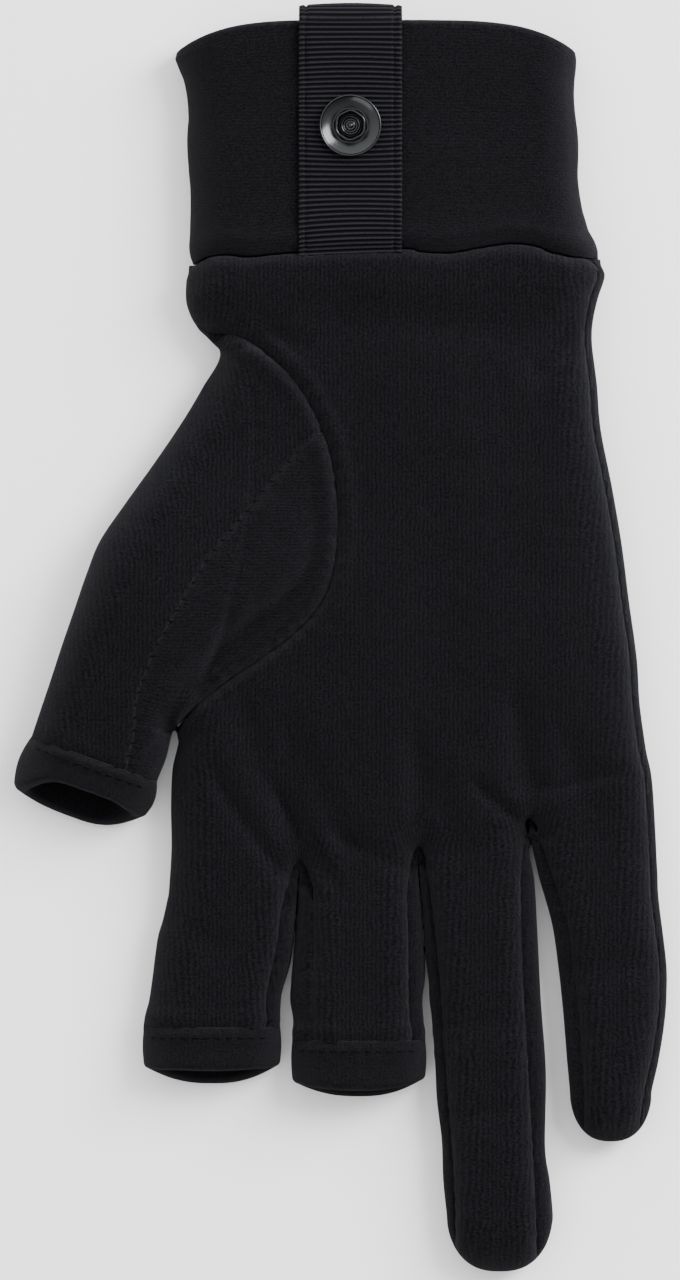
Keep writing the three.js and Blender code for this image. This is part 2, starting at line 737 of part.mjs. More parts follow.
// The wall of a double band that is folded at its far end: up the outside, over the fold, down the
// inside and back up the space between the layers. up is a share of the band's length, back and
// deep are shares of the cloth's thickness, space is a share of the room in the fold.
const BAND_WALL = [
  { up: 0, back: 0, deep: 0, space: 0 },
  { up: 0.35, back: 0, deep: 0, space: 0 },
  { up: 0.7, back: 0, deep: 0, space: 0 },
  { up: 1, back: 0.6, deep: 0.1, space: 0 },
  { up: 1, back: 0, deep: 0.8, space: 0 },
  { up: 1, back: 0, deep: 1.2, space: 1 },
  { up: 1, back: 0.6, deep: 2, space: 1 },
  { up: 0.5, back: 0, deep: 2, space: 1 },
  { up: 0, back: 0, deep: 2, space: 1 },
  { up: 0, back: 0, deep: 1, space: 1 },
  { up: 1, back: 1.2, deep: 1, space: 1 },
  { up: 1, back: 1.2, deep: 1, space: 0 },
  { up: 0, back: 0, deep: 1, space: 0 },
];

function foldedProfile(length, start, end) {
  return BAND_WALL.map((step) => ({
    along: lerp(start, end, step.up - step.back * CLOTH / length),
    inset: step.deep * CLOTH + step.space * FOLD_SPACE,
  }));
}

// The hem of a cut finger carries on from the finger's last row; its palm side stands back a little.
function fingerHem(finger) {
  const last = finger.rows.at(-1);
  const start = last.along + CLEARANCE / finger.length;
  const end = 1;
  const base = fingerRow(finger, { ...last, along: start });
  const full = (end - start) * finger.length;
  const hemShape = (place, rise) => {
    const share = (base.left.y - place.y) / full;
    const back = rise > 0 ? LIP_SETBACK * rise * share : 0;
    return new THREE.Vector3(place.x, place.y + back, place.z);
  };
  const rowAt = (along) => ({ ...fingerRow(finger, { ...last, along }), shape: hemShape });
  return band(rowAt, foldedProfile(full, start, end));
}

function thumbHem() {
  const last = THUMB_ROWS.at(-1);
  const start = last.up - CLEARANCE / THUMB_GUSSET_LENGTH;
  const end = -THUMB_REACH / THUMB_GUSSET_LENGTH;
  const full = (start - end) * THUMB_GUSSET_LENGTH;
  const hemShape = (place, rise) => {
    const along = point(place.x, place.y).sub(thumbCrotch).dot(thumbAxis);
    const share = (along + start * THUMB_GUSSET_LENGTH) / full;
    const back = rise > 0 ? THUMB_LIP_SETBACK * rise * share : 0;
    return new THREE.Vector3(place.x - back * thumbAxis.x, place.y - back * thumbAxis.y, place.z);
  };
  const rowAt = (up) => ({ ...thumbRow({ ...last, up }), shape: hemShape });
  return band(rowAt, foldedProfile(full, start, end));
}

// The cuff's row at a share of its length above the seam.
function cuffRowAt(up) {
  const next = Math.max(1, CUFF_ROWS.findIndex((row) => row.up >= up - TINY));
  const from = CUFF_ROWS[next - 1];
  const to = CUFF_ROWS[next];
  const share = (up - from.up) / (to.up - from.up);
  const y = up * CUFF_LENGTH;
  const shape = (place) => {
    const middle = (lerp(from.left, to.left, share) + lerp(from.right, to.right, share)) / 2;
    const aside = Math.abs(place.x / CUFF_WIDTH - middle) * 2;
    const arch = CUFF_ARCH * Math.pow(aside, ARCH_ASIDE_POWER) * Math.pow(up, ARCH_UP_POWER);
    const wave = seamWave(place.x) * Math.exp(-((y / (CUFF_WAVE_REACH * CUFF_LENGTH)) ** 2));
    return new THREE.Vector3(place.x, place.y - arch + wave, place.z);
  };
  return {
    left: point(lerp(from.left, to.left, share) * CUFF_WIDTH, y),
    right: point(lerp(from.right, to.right, share) * CUFF_WIDTH, y),
    top: lerp(from.top, to.top, share) * CUFF_HEIGHT,
    waist: WAIST_HEIGHT,
    crown: CUFF_CROWN,
    steps: PALM_STEPS,
    shape,
  };
}

function cuffSolid() {
  const start = CLEARANCE / 2 / CUFF_LENGTH;
  return band(cuffRowAt, foldedProfile(CUFF_LENGTH, start, 1).reverse());
}

// Height of the cuff's outer face at a place across and along it.
function cuffTopAt(x, y) {
  const row = cuffRowAt(THREE.MathUtils.clamp(y / CUFF_LENGTH, 0, 1));
  const flat = (row.right.x - row.left.x) / 2 - SIDE_ROUND;
  const aside = (x - (row.left.x + row.right.x) / 2) / flat;
  return row.top + row.crown * (1 - aside * aside);
}

// The highest and the lowest that the cuff's face reaches under the ribbon's width.
const cuffMiddle = (CUFF_ROWS[0].left + CUFF_ROWS[0].right) / 2 * CUFF_WIDTH;
const ribbonEdges = [RIBBON_OFFSET - RIBBON_WIDTH / 2, RIBBON_OFFSET + RIBBON_WIDTH / 2];
const ribbonCrest = THREE.MathUtils.clamp(cuffMiddle, ...ribbonEdges);
const highestCuff = (y) => cuffTopAt(ribbonCrest, y);
const lowestCuff = (y) => Math.min(...ribbonEdges.map((x) => cuffTopAt(x, y)));

// Where the ribbon's line is led: up the cuff's face as shares of the cuff's length, round the fold
// from its outer to its inner side, and down inside as shares of the tucked length.
const RIBBON_OUTSIDE = [0.01, 0.15, 0.3, 0.45, 0.6, 0.75, 0.9];
const RIBBON_BEND = [1, 0.5, 0, -0.5, -1];
const RIBBON_INSIDE = [0.5, 1];

// The ribbon's middle line in the upright plane, from its sewn end over the fold into the cuff.
function ribbonLine() {
  const space = CLEARANCE + RIBBON_THICKNESS / 2;
  const double = 2 * CLOTH + FOLD_SPACE;
  const outside = RIBBON_OUTSIDE.map((up) => {
    const y = up * CUFF_LENGTH;
    return point(y, highestCuff(y) + space);
  });
  const over = highestCuff(CUFF_LENGTH) + space;
  const under = lowestCuff(CUFF_LENGTH) - double - space;
  const crest = (over + under) / 2;
  const bend = RIBBON_BEND.map((turn) => {
    const reach = (RIBBON_LOOP + space) * Math.sqrt(1 - turn * turn);
    return point(CUFF_LENGTH + reach, crest + turn * (over - crest));
  });
  const inside = RIBBON_INSIDE.map((share) => {
    const y = CUFF_LENGTH - share * RIBBON_TUCK;
    return point(y, lowestCuff(y) - double - space);
  });
  return [...outside, ...bend, ...inside];
}

function tabRibbon() {
  const line = ribbonLine();
  const half = RIBBON_THICKNESS / 2;
  const sections = line.map((place, i) => {
    const along = line[Math.min(i + 1, line.length - 1)].clone().sub(line[Math.max(i - 1, 0)]).normalize();
    const up = point(-along.y, along.x).multiplyScalar(half);
    const corner = (side, turn) => new THREE.Vector3(
      RIBBON_OFFSET + side * RIBBON_WIDTH / 2,
      place.x + turn * up.x,
      place.y + turn * up.y,
    );
    return [corner(-1, 1), corner(1, 1), corner(1, -1), corner(-1, -1)];
  });
  const index = [0, 2, 1, 0, 3, 2];
  for (let i = 0; i + 1 < sections.length; i += 1) {
    for (let j = 0; j < 4; j += 1) {
      const a = 4 * i + j;
      const b = 4 * i + ((j + 1) % 4);
      index.push(a, b, a + 4, b, b + 4, a + 4);
    }
  }
  const end = 4 * (sections.length - 1);
  index.push(end, end + 1, end + 2, end, end + 2, end + 3);
  return solidFrom(indexed(sections.flat(), index));
}

// The snap stands on the ribbon, below the folded edge of the cuff.
const snapY = CUFF_LENGTH - SNAP_DROP;
const snapBase = highestCuff(snapY) + CLEARANCE + RIBBON_THICKNESS + CLEARANCE;

function turned(profile, sides) {
  const lathe = new THREE.LatheGeometry(profile.map(([r, z]) => point(r, z)), sides);
  lathe.rotateX(Math.PI / 2);
  return lathe;
}

function placedSnap(geometry, height) {
  geometry.translate(RIBBON_OFFSET, snapY, height);
  return solidFrom(geometry);
}

// Profiles of the snap. Flange: in is how far in from the rim, or the hole where it is null, and up
// is the height, both shares of the flange's height.
const FLANGE_SHARE = 0.5;
const FLANGE_PROFILE = [
  { in: null, up: 0 },
  { in: 0.3, up: 0 },
  { in: 0, up: 0.35 },
  { in: 0, up: 0.75 },
  { in: 0.3, up: 1 },
  { in: 0.75, up: 0.9 },
  { in: 1.3, up: 0.5 },
  { in: null, up: 0.45 },
  { in: null, up: 0 },
];
// Collar: out is a share of its radius, with its bore where that is 0, and up a share of the height.
const COLLAR_PROFILE = [
  { out: 0, up: 0 },
  { out: 1, up: 0 },
  { out: 1, up: 0.6 },
  { out: 0.9, up: 0.92 },
  { out: 0.76, up: 1 },
  { out: 0.6, up: 0.86 },
  { out: 0.52, up: 0.5 },
  { out: 0, up: 0.45 },
  { out: 0, up: 0 },
];

function snapFlange() {
  const rim = SNAP_DIAMETER / 2;
  const hole = COLLAR_DIAMETER / 2 + CLEARANCE;
  const high = FLANGE_SHARE * SNAP_HEIGHT;
  const profile = FLANGE_PROFILE.map((step) => [
    step.in === null ? hole : rim - step.in * high,
    step.up * high,
  ]);
  return placedSnap(turned(profile, SNAP_SIDES), snapBase);
}

function snapCollar() {
  const rim = COLLAR_DIAMETER / 2;
  const bore = RIVET_SHANK / 2 + CLEARANCE;
  const profile = COLLAR_PROFILE.map((step) => [Math.max(bore, step.out * rim), step.up * SNAP_HEIGHT]);
  const ring = turned(profile, 4 * COLLAR_LOBES);
  const places = ring.attributes.position;
  for (let i = 0; i < places.count; i += 1) {
    const radius = Math.hypot(places.getX(i), places.getY(i));
    const angle = Math.atan2(places.getY(i), places.getX(i));
    const pinch = LOBE_DEPTH * (1 + Math.cos(COLLAR_LOBES * angle));
    const lobe = radius > LOBE_FROM * rim ? 1 - pinch : 1;
    places.setXY(i, places.getX(i) * lobe, places.getY(i) * lobe);
  }
  return placedSnap(ring, snapBase);
}

// Shank and inner cap in one piece, which clamp the cuff's outer layers.
function snapRivet() {
  const shank = RIVET_SHANK / 2;
  const cap = RIVET_CAP / 2;
  const inner = Math.min(...[-1, 1].map((side) => cuffTopAt(RIBBON_OFFSET + side * RIVET_CAP / 2, snapY)));
  const under = inner - 2 * CLOTH - FOLD_SPACE - CLEARANCE - RIVET_CAP_THICKNESS;
  const head = snapBase + RIVET_STAND * SNAP_HEIGHT - under;
  const profile = [
    [0, 0],
    [cap, 0],
    [cap, (1 - CAP_ROUND) * RIVET_CAP_THICKNESS],
    [cap - CAP_ROUND * RIVET_CAP_THICKNESS, RIVET_CAP_THICKNESS],
    [shank, RIVET_CAP_THICKNESS],
    [shank, head - CAP_ROUND * shank],
    [(1 - CAP_ROUND) * shank, head],
    [0, head],
  ];
  return placedSnap(turned(profile, SNAP_SIDES), under);
}

function shankHole() {
  const height = PALM_HEIGHT + CUFF_HEIGHT;
  const hole = new THREE.CylinderGeometry(
    RIVET_SHANK / 2 + CLEARANCE,
    RIVET_SHANK / 2 + CLEARANCE,
    height,
    SNAP_SIDES / 2,
  );
  hole.rotateX(Math.PI / 2);
  hole.translate(RIBBON_OFFSET, snapY, WAIST_HEIGHT + height / 2);
  return solidFrom(hole);
}

function material(look) {
  return new THREE.MeshStandardMaterial({ ...look, flatShading: true });
}

function piece(name, solid, look) {
  const mesh = new THREE.Mesh(geometryFrom(solid), material(look));
  mesh.name = name;
  return mesh;
}

function cuffPieces() {
  const hole = shankHole();
  return [
    piece("cuff", cuffSolid().subtract(hole), FLEECE),
    piece("tab_ribbon", tabRibbon().subtract(hole), RIBBON),
    piece("snap_flange", snapFlange(), GUNMETAL),
    piece("snap_collar", snapCollar(), GUNMETAL),
    piece("snap_rivet", snapRivet(), GUNMETAL),
  ];
}

function handPieces() {
  const panels = Object.entries(handPanels()).map(([name, solid]) => piece(name, solid, FLEECE));
  return [
    ...panels,
    piece("thumb_hem", thumbHem(), FLEECE),
    piece("index_hem", fingerHem(FINGERS.index), FLEECE),
    piece("middle_hem", fingerHem(FINGERS.middle), FLEECE),
  ];
}

// The glove is centred over its own footprint and rests on z = 0.
const laid = new THREE.Group();
laid.add(...handPieces(), ...cuffPieces());
const box = new THREE.Box3().setFromObject(laid);
const centre = box.getCenter(new THREE.Vector3());
laid.position.set(-centre.x, -centre.y, -box.min.z);

const glove = new THREE.Group();
glove.add(laid);

export default glove;
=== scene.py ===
"""A right-hand fishing glove of black stretch fleece that lies palm up on a pale floor.

Lengths are millimetres in the glove's drawing frame, with the cuff seam at y = 0 and the
fingers towards -Y. The drawing is moved to the frame's own place and scaled to metres at the end.
"""

import math

import bpy
import numpy as np
from mathutils import Matrix, Vector
from mathutils.bvhtree import BVHTree
from mathutils.geometry import delaunay_2d_cdt
from mathutils.kdtree import KDTree


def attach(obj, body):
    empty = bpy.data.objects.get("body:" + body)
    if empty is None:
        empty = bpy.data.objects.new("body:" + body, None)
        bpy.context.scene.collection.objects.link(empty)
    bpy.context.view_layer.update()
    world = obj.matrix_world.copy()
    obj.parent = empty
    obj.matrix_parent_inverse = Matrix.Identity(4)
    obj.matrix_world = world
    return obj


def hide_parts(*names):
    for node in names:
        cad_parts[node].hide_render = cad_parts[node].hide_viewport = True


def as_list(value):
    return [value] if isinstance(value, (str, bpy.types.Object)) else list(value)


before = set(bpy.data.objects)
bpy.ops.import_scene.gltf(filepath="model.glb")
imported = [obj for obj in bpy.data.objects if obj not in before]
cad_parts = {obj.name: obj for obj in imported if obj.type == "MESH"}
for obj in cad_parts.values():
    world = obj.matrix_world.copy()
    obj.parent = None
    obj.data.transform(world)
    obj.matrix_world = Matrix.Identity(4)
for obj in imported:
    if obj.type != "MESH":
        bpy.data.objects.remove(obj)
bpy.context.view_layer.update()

MM = 0.001

# Sizes of the glove, as the solids have them
CLOTH = 1.4
FOLD_SPACE = 0.4
PALM_WIDTH = 97.4
PALM_LENGTH = 121.2
PALM_HEIGHT = 13.2
PALM_CROWN = 1.2
KNUCKLE_ANGLE = 8.0
WAIST = 5.0
SIDE_ROUND = 8.5
FINGER_HEIGHT = 11.2
FINGER_LENGTH = {"index": 39.0, "middle": 45.1, "ring": 83.3, "little": 60.6}
LIP_SETBACK = 3.4
FOURCHETTE_SHOW = 3.4
ARCH_RISE = 3.45
THUMB_WIDTH = 27.0
THUMB_GUSSET_LENGTH = 77.6
THUMB_REACH = 23.7
THUMB_HEIGHT = 17.6
THUMB_WAIST = 6.4
THUMB_ANGLE = 20.0
THUMB_CROTCH_SHARE = 0.735
THUMB_LIP_SETBACK = 6.0
CUFF_WIDTH = 78.4
CUFF_LENGTH = 47.4
CUFF_HEIGHT = 12.8
CUFF_CROWN = 1.1
CUFF_ARCH = 5.4
SEAM_WAVE = 1.4
RIBBON_WIDTH = 20.6
RIBBON_THICKNESS = 1.0
RIBBON_OFFSET = 2.7
SNAP_DROP = 21.2

# Fineness of the surface
GRID = 0.7
LINE_STEP = 0.5
CURVE_STEP = 0.01
BAND_SIDE_STEPS = 12
BAND_TOP_STEPS = 90

# Outlines, as in the solids: shares of the named sizes
PALM_ROWS = [
    # down, left, right, top
    (0.0, -0.304, 0.541, 0.97),
    (0.03, -0.310, 0.550, 1.00),
    (0.07, -0.308, 0.536, 1.00),
    (0.11, -0.285, 0.526, 0.99),
    (0.15, -0.275, 0.524, 0.99),
    (0.22, -0.281, 0.534, 1.00),
    (0.30, -0.290, 0.542, 1.01),
    (0.40, -0.300, 0.565, 1.01),
    (0.50, -0.308, 0.585, 1.00),
    (0.60, -0.320, 0.600, 1.00),
    (0.70, -0.333, 0.616, 0.98),
    (0.78, -0.337, 0.622, 0.96),
    (0.86, -0.341, 0.635, 0.93),
    (0.92, -0.340, 0.648, 0.90),
    (1.00, -0.347, 0.655, 0.86),
]
# Sides of the fingers: along is a share of the finger's length, place a share of the palm width
FINGER_SIDES = {
    "index": {
        "left": [
            (0.0, -0.345), (0.06, -0.349), (0.16, -0.358), (0.26, -0.369), (0.47, -0.380), (0.57, -0.386),
            (0.72, -0.398),
        ],
        "right": [
            (0.0, -0.0805), (0.2, -0.0862), (0.277, -0.0890), (0.4, -0.0975), (0.503, -0.1100),
            (0.569, -0.1150), (0.72, -0.1172),
        ],
    },
    "middle": {
        "left": [
            (0.0, -0.0785), (0.115, -0.0795), (0.253, -0.0850), (0.319, -0.0876), (0.483, -0.0940),
            (0.572, -0.0960), (0.66, -0.0900), (0.76, -0.0920),
        ],
        "right": [
            (0.0, 0.1665), (0.044, 0.1680), (0.19, 0.1745), (0.333, 0.1785), (0.415, 0.1812),
            (0.48, 0.1802), (0.572, 0.1755), (0.66, 0.1780), (0.76, 0.1815),
        ],
    },
    "ring": {
        "left": [
            (0.0, 0.1675), (0.062, 0.1697), (0.142, 0.1760), (0.218, 0.1805), (0.264, 0.1840),
            (0.307, 0.1886), (0.348, 0.1900), (0.396, 0.1950), (0.492, 0.2012), (0.588, 0.2053),
            (0.684, 0.2150), (0.78, 0.2180), (0.86, 0.2250),
        ],
        "right": [
            (0.0, 0.3955), (0.06, 0.4050), (0.17, 0.4110), (0.35, 0.4190), (0.52, 0.4290), (0.70, 0.4275),
            (0.78, 0.4370), (0.86, 0.4435),
        ],
    },
    "little": {
        "left": [
            (0.0, 0.3970), (0.073, 0.4070), (0.139, 0.4170), (0.205, 0.4290), (0.27, 0.4400),
            (0.337, 0.4476), (0.47, 0.4580), (0.6, 0.4660), (0.733, 0.4725), (0.83, 0.4780),
        ],
        "right": [
            (0.0, 0.6540), (0.1, 0.6580), (0.2, 0.6610), (0.4, 0.6760), (0.5, 0.6775), (0.6, 0.6735),
            (0.73, 0.6610), (0.83, 0.6470),
        ],
    },
}
FINGER_TOPS = {
    "index": [(0.0, 1.0), (0.56, 0.99), (0.72, 1.0)],
    "middle": [(0.0, 1.0), (0.33, 1.02), (0.76, 1.01)],
    "ring": [(0.0, 1.0), (0.17, 1.04), (0.52, 0.98), (0.70, 1.02), (0.86, 1.0)],
    "little": [(0.0, 0.98), (0.4, 1.0), (0.83, 0.96)],
}
# Where the plain cloth of a finger ends, in a hem or in a round tip
FINGER_END = {"index": 0.72, "middle": 0.76, "ring": 0.86, "little": 0.83}
THUMB_ROWS = [
    # up, left, right, top
    (1.00, 0.610, 0.500, 0.36),
    (0.95, 0.630, 0.220, 0.50),
    (0.85, 0.665, -0.280, 0.66),
    (0.75, 0.720, -0.480, 0.78),
    (0.625, 0.810, -0.600, 0.87),
    (0.50, 0.910, -0.620, 0.95),
    (0.39, 0.990, -0.460, 1.00),
    (0.30, 1.000, -0.270, 1.02),
    (0.20, 0.995, -0.170, 1.00),
    (0.10, 0.990, -0.090, 0.95),
    (0.00, 0.980, -0.015, 0.90),
    (-0.08, 0.975, -0.020, 0.86),
    (-0.15, 0.970, -0.015, 0.84),
]
CUFF_ROWS = [
    # up, left, right, top
    (0.0, -0.372, 0.672, 1.00),
    (0.05, -0.371, 0.658, 1.01),
    (0.12, -0.372, 0.638, 1.02),
    (0.2, -0.374, 0.627, 1.01),
    (0.35, -0.380, 0.617, 1.00),
    (0.60, -0.379, 0.610, 0.98),
    (0.80, -0.392, 0.607, 1.00),
    (0.92, -0.410, 0.608, 1.00),
    (1.0, -0.405, 0.605, 0.98),
]
# Seams of the thumb: up is a share of the gusset length, side of the thumb width
GUSSET_SEAM = [
    (0.993, 0.660), (1.004, 0.530), (0.992, 0.320), (0.956, 0.086), (0.904, -0.127), (0.837, -0.315),
    (0.778, -0.439), (0.702, -0.551), (0.645, -0.618), (0.570, -0.680), (0.492, -0.715), (0.418, -0.690),
    (0.331, -0.584), (0.234, -0.402), (0.152, -0.235), (0.090, -0.120), (0.000, -0.015),
]
THUMB_BACK_SEAM = [
    (0.992, 0.70), (0.95, 0.44), (0.77, 0.15), (0.5, -0.04), (0.25, -0.11), (0.08, -0.09),
    (0.0, -0.015),
]
THUMB_TOP_SEAM = [
    (0.86, -0.29), (0.775, -0.16), (0.55, 0.08), (0.437, 0.19), (0.278, 0.275), (0.165, 0.322),
    (0.04, 0.325), (-0.04, 0.26), (-0.15, 0.22),
]
THUMB_UNDER_SEAM = [(0.0, -0.015), (-0.06, 0.1), (-0.15, 0.12)]
# Strips between the fingers: how much shows at the crotch and at the finger's end, and the arch
FOURCHETTES = {
    "fourchette_index_middle": ("index", "middle", (1.1, 0.55), (1.0, 1.42), 1.0),
    "fourchette_middle_ring": ("middle", "ring", (0.95, 0.6), (0.6, 0.45), 0.8),
    "fourchette_ring_little": ("ring", "little", (1.05, 0.8), (0.9, 0.7), 1.5),
}


def share_between(rows, key, column):
    """A column of a table at a place along its first column, in either direction."""
    keys = np.array([row[0] for row in rows])
    values = np.array([row[column] for row in rows])
    order = np.argsort(keys)
    return np.interp(key, keys[order], values[order])


def spline(points, step=LINE_STEP):
    """A smooth line through points, sampled at about one step."""
    pts = np.asarray(points, float)
    padded = np.vstack([2 * pts[0] - pts[1], pts, 2 * pts[-1] - pts[-2]])
    out = []
    for i in range(len(pts) - 1):
        a, b, c, d = padded[i:i + 4]
        count = max(2, int(np.linalg.norm(c - b) / step))
        t = (np.arange(count) / count)[:, None]
        out.append(0.5 * (2 * b + (c - a) * t + (2 * a - 5 * b + 4 * c - d) * t**2
                          + (3 * b - a - 3 * c + d) * t**3))
    out.append(pts[-1:])
    return np.vstack(out)


def curve_between(rows, key, column):
    """As share_between, along a smooth curve through the rows."""
    line = spline([(row[0], row[column]) for row in rows], CURVE_STEP)[::-1]
    return np.interp(key, line[:, 0], line[:, 1])


def nearest_on(line, points):
    """Distance from each point to a line, the nearest place on it, how far along and on which side."""
    keep = np.concatenate([[True], np.linalg.norm(np.diff(line, axis=0), axis=1) > 1e-7])
    line = line[keep]
    tree = KDTree(len(line))
    for i, (x, y) in enumerate(line):
        tree.insert((x, y, 0), i)
    tree.balance()
    nearest = np.array([tree.find((x, y, 0))[1] for x, y in points], int)
    run = np.diff(line, axis=0)
    lengths = np.linalg.norm(run, axis=1)
    starts = np.concatenate([[0], np.cumsum(lengths)[:-1]])
    best = np.full(len(points), np.inf)
    foot = np.zeros((len(points), 2))
    along = np.zeros(len(points))
    side = np.zeros(len(points))
    for shift in (-1, 0):
        pick = np.clip(nearest + shift, 0, len(run) - 1)
        rel = points - line[pick]
        t = np.clip((rel * run[pick]).sum(1) / lengths[pick] ** 2, 0, 1)
        place = line[pick] + t[:, None] * run[pick]
        far = np.linalg.norm(points - place, axis=1)
        closer = far < best
        best[closer] = far[closer]
        foot[closer] = place[closer]
        along[closer] = (starts[pick] + t * lengths[pick])[closer]
        cross = run[pick, 0] * rel[:, 1] - run[pick, 1] * rel[:, 0]
        side[closer] = np.sign(cross)[closer]
    return best, foot, along, side


def inside(polygon, points):
    """Which points lie inside a closed outline."""
    x, y = points[:, 0], points[:, 1]
    result = np.zeros(len(points), bool)
    a = polygon
    b = np.roll(polygon, -1, axis=0)
    for (x0, y0), (x1, y1) in zip(a, b):
        if y0 == y1:
            continue
        crosses = (y0 > y) != (y1 > y)
        result ^= crosses & (x < (x1 - x0) * (y - y0) / (y1 - y0) + x0)
    return result


def smooth_step(x):
    x = np.clip(x, 0, 1)
    return x * x * (3 - 2 * x)


def hump(place, middle, width, power=2):
    """A smooth hump of height one round a middle."""
    return np.exp(-(((place - middle) / width) ** power))


# The cuff's seam across the palm: place across as a share of the cuff's width, rise in wave heights
CUFF_SEAM = [
    (-0.37, -1.0), (-0.337, 0.0), (-0.286, 0.43), (-0.224, 0.14), (-0.11, 0.7), (0.166, 1.28), (0.212, 0.86),
    (0.288, 0.71), (0.365, 1.43), (0.441, 2.0), (0.503, 1.71), (0.548, 0.71), (0.617, 0.0), (0.671, -0.14),
]


def seam_wave(x):
    line = spline([(across * CUFF_WIDTH, rise * SEAM_WAVE) for across, rise in CUFF_SEAM])
    return np.interp(x, line[:, 0], line[:, 1])


# Lines of the outline
SKEW = PALM_WIDTH * math.tan(math.radians(KNUCKLE_ANGLE))
LEFT_LENGTH = PALM_LENGTH + SKEW / 2
RIGHT_LENGTH = PALM_LENGTH - SKEW / 2
KNUCKLE_LEFT = np.array([PALM_ROWS[-1][1] * PALM_WIDTH, -LEFT_LENGTH])
KNUCKLE_RIGHT = np.array([PALM_ROWS[-1][2] * PALM_WIDTH, -RIGHT_LENGTH])


def knuckle_at(x):
    share = (x - KNUCKLE_LEFT[0]) / (KNUCKLE_RIGHT[0] - KNUCKLE_LEFT[0])
    return KNUCKLE_LEFT[1] + share * (KNUCKLE_RIGHT[1] - KNUCKLE_LEFT[1])


def hand_point(down, column):
    length = LEFT_LENGTH if column == 1 else RIGHT_LENGTH
    return np.array([share_between(PALM_ROWS, down, column) * PALM_WIDTH, -down * length])


THUMB_AXIS = np.array([-math.sin(math.radians(THUMB_ANGLE)), -math.cos(math.radians(THUMB_ANGLE))])
THUMB_SIDE = np.array([-math.cos(math.radians(THUMB_ANGLE)), math.sin(math.radians(THUMB_ANGLE))])
THUMB_CROTCH = hand_point(THUMB_CROTCH_SHARE, 1)


def thumb_place(up, side):
    return THUMB_CROTCH - up * THUMB_GUSSET_LENGTH * THUMB_AXIS + side * THUMB_WIDTH * THUMB_SIDE


def thumb_line(table):
    return spline([thumb_place(up, side) for up, side in table])


def finger_start(name):
    sides = FINGER_SIDES[name]
    return knuckle_at((sides["left"][0][1] + sides["right"][0][1]) / 2 * PALM_WIDTH)


def finger_edge(name, along, side):
    x = share_between(FINGER_SIDES[name][side], along, 1) * PALM_WIDTH
    return np.array([x, finger_start(name) - along * FINGER_LENGTH[name]])


def finger_side(name, side, beyond=0.0):
    places = [finger_edge(name, row[0], side) for row in FINGER_SIDES[name][side]]
    if beyond:
        places.append(places[-1] + np.array([0.0, -beyond]))
    return places


TIP_STEP = 12
TIP_FULLNESS = 0.8
NOTCH_TURNS = (150, 90, 30)


def tip_points(name):
    """The round end of a closed finger, from its right side to its left side."""
    right = finger_edge(name, FINGER_END[name], "right")
    left = finger_edge(name, FINGER_END[name], "left")
    reach = (1 - FINGER_END[name]) * FINGER_LENGTH[name]
    middle = (left + right) / 2
    half = (right[0] - left[0]) / 2
    turns = np.radians(np.arange(TIP_STEP, 180, TIP_STEP))
    across = np.sign(np.cos(turns)) * np.abs(np.cos(turns)) ** TIP_FULLNESS
    return [middle + np.array([half * c, -reach * s]) for c, s in zip(across, np.sin(turns))]


def notch(near, far):
    """The round bottom of the slit between two fingers, from one's right side to the next one's left."""
    a = finger_edge(near, 0.0, "right")
    b = finger_edge(far, 0.0, "left")
    middle = (a[0] + b[0]) / 2
    half = (b[0] - a[0]) / 2
    turns = [math.radians(turn) for turn in NOTCH_TURNS]
    top = knuckle_at(middle)
    return [np.array([middle + half * math.cos(turn), top + half * math.sin(turn)]) for turn in turns]


# How far the outline runs on past an open end, and where it leaves and meets the thumb
OPEN_END = 14.0
WRIST_TO = 0.12
THUMB_FROM = 0.97
PALM_BELOW_THUMB = (0.80, 0.86, 0.92)
CROTCH_STEP = 0.5
CROTCH_TURN = np.array([0.9, -2.5])


def between_fingers(near, far):
    """The outline from the open end of one finger up to the bottom of the slit beside it."""
    return [*finger_side(near, "right", OPEN_END)[::-1], *notch(near, far)]


def closed_finger(name):
    return [*finger_side(name, "left"), *tip_points(name)[::-1], *finger_side(name, "right")[::-1]]


def outline_parts():
    """The silhouette of the hand in plan, as lines that leave the open ends out."""
    left_wrist = [hand_point(row[0], 1) for row in PALM_ROWS if row[0] <= WRIST_TO]
    thumb_left = [thumb_place(row[0], row[1]) for row in THUMB_ROWS if row[0] < THUMB_FROM]
    thumb_right = [thumb_place(row[0], row[2]) for row in THUMB_ROWS if row[0] < 0.0][::-1]
    past_thumb = THUMB_AXIS * OPEN_END
    crotch = [THUMB_CROTCH + THUMB_AXIS * CROTCH_STEP, THUMB_CROTCH + CROTCH_TURN]
    palm_left = [hand_point(down, 1) for down in PALM_BELOW_THUMB]
    hand_right = [hand_point(row[0], 2) for row in PALM_ROWS[:-1]][::-1]
    beyond = np.array([0.0, OPEN_END])
    return {
        "wrist_left": spline([left_wrist[0] + beyond, *left_wrist, *thumb_left, thumb_left[-1] + past_thumb]),
        "thumb_right": spline([thumb_right[0] + past_thumb, *thumb_right, *crotch, *palm_left,
                               *finger_side("index", "left", OPEN_END)]),
        "index_right": spline([
            *between_fingers("index", "middle"), *finger_side("middle", "left", OPEN_END),
        ]),
        "middle_right": spline([*between_fingers("middle", "ring"), *closed_finger("ring"),
                                *notch("ring", "little"), *closed_finger("little")[:-1], *hand_right,
                                hand_right[-1] + beyond]),
    }


SILHOUETTE = outline_parts()
HAND_LOOP = np.vstack(list(SILHOUETTE.values()))
# Below this distance a place counts as on the line itself
TINY = 1e-6


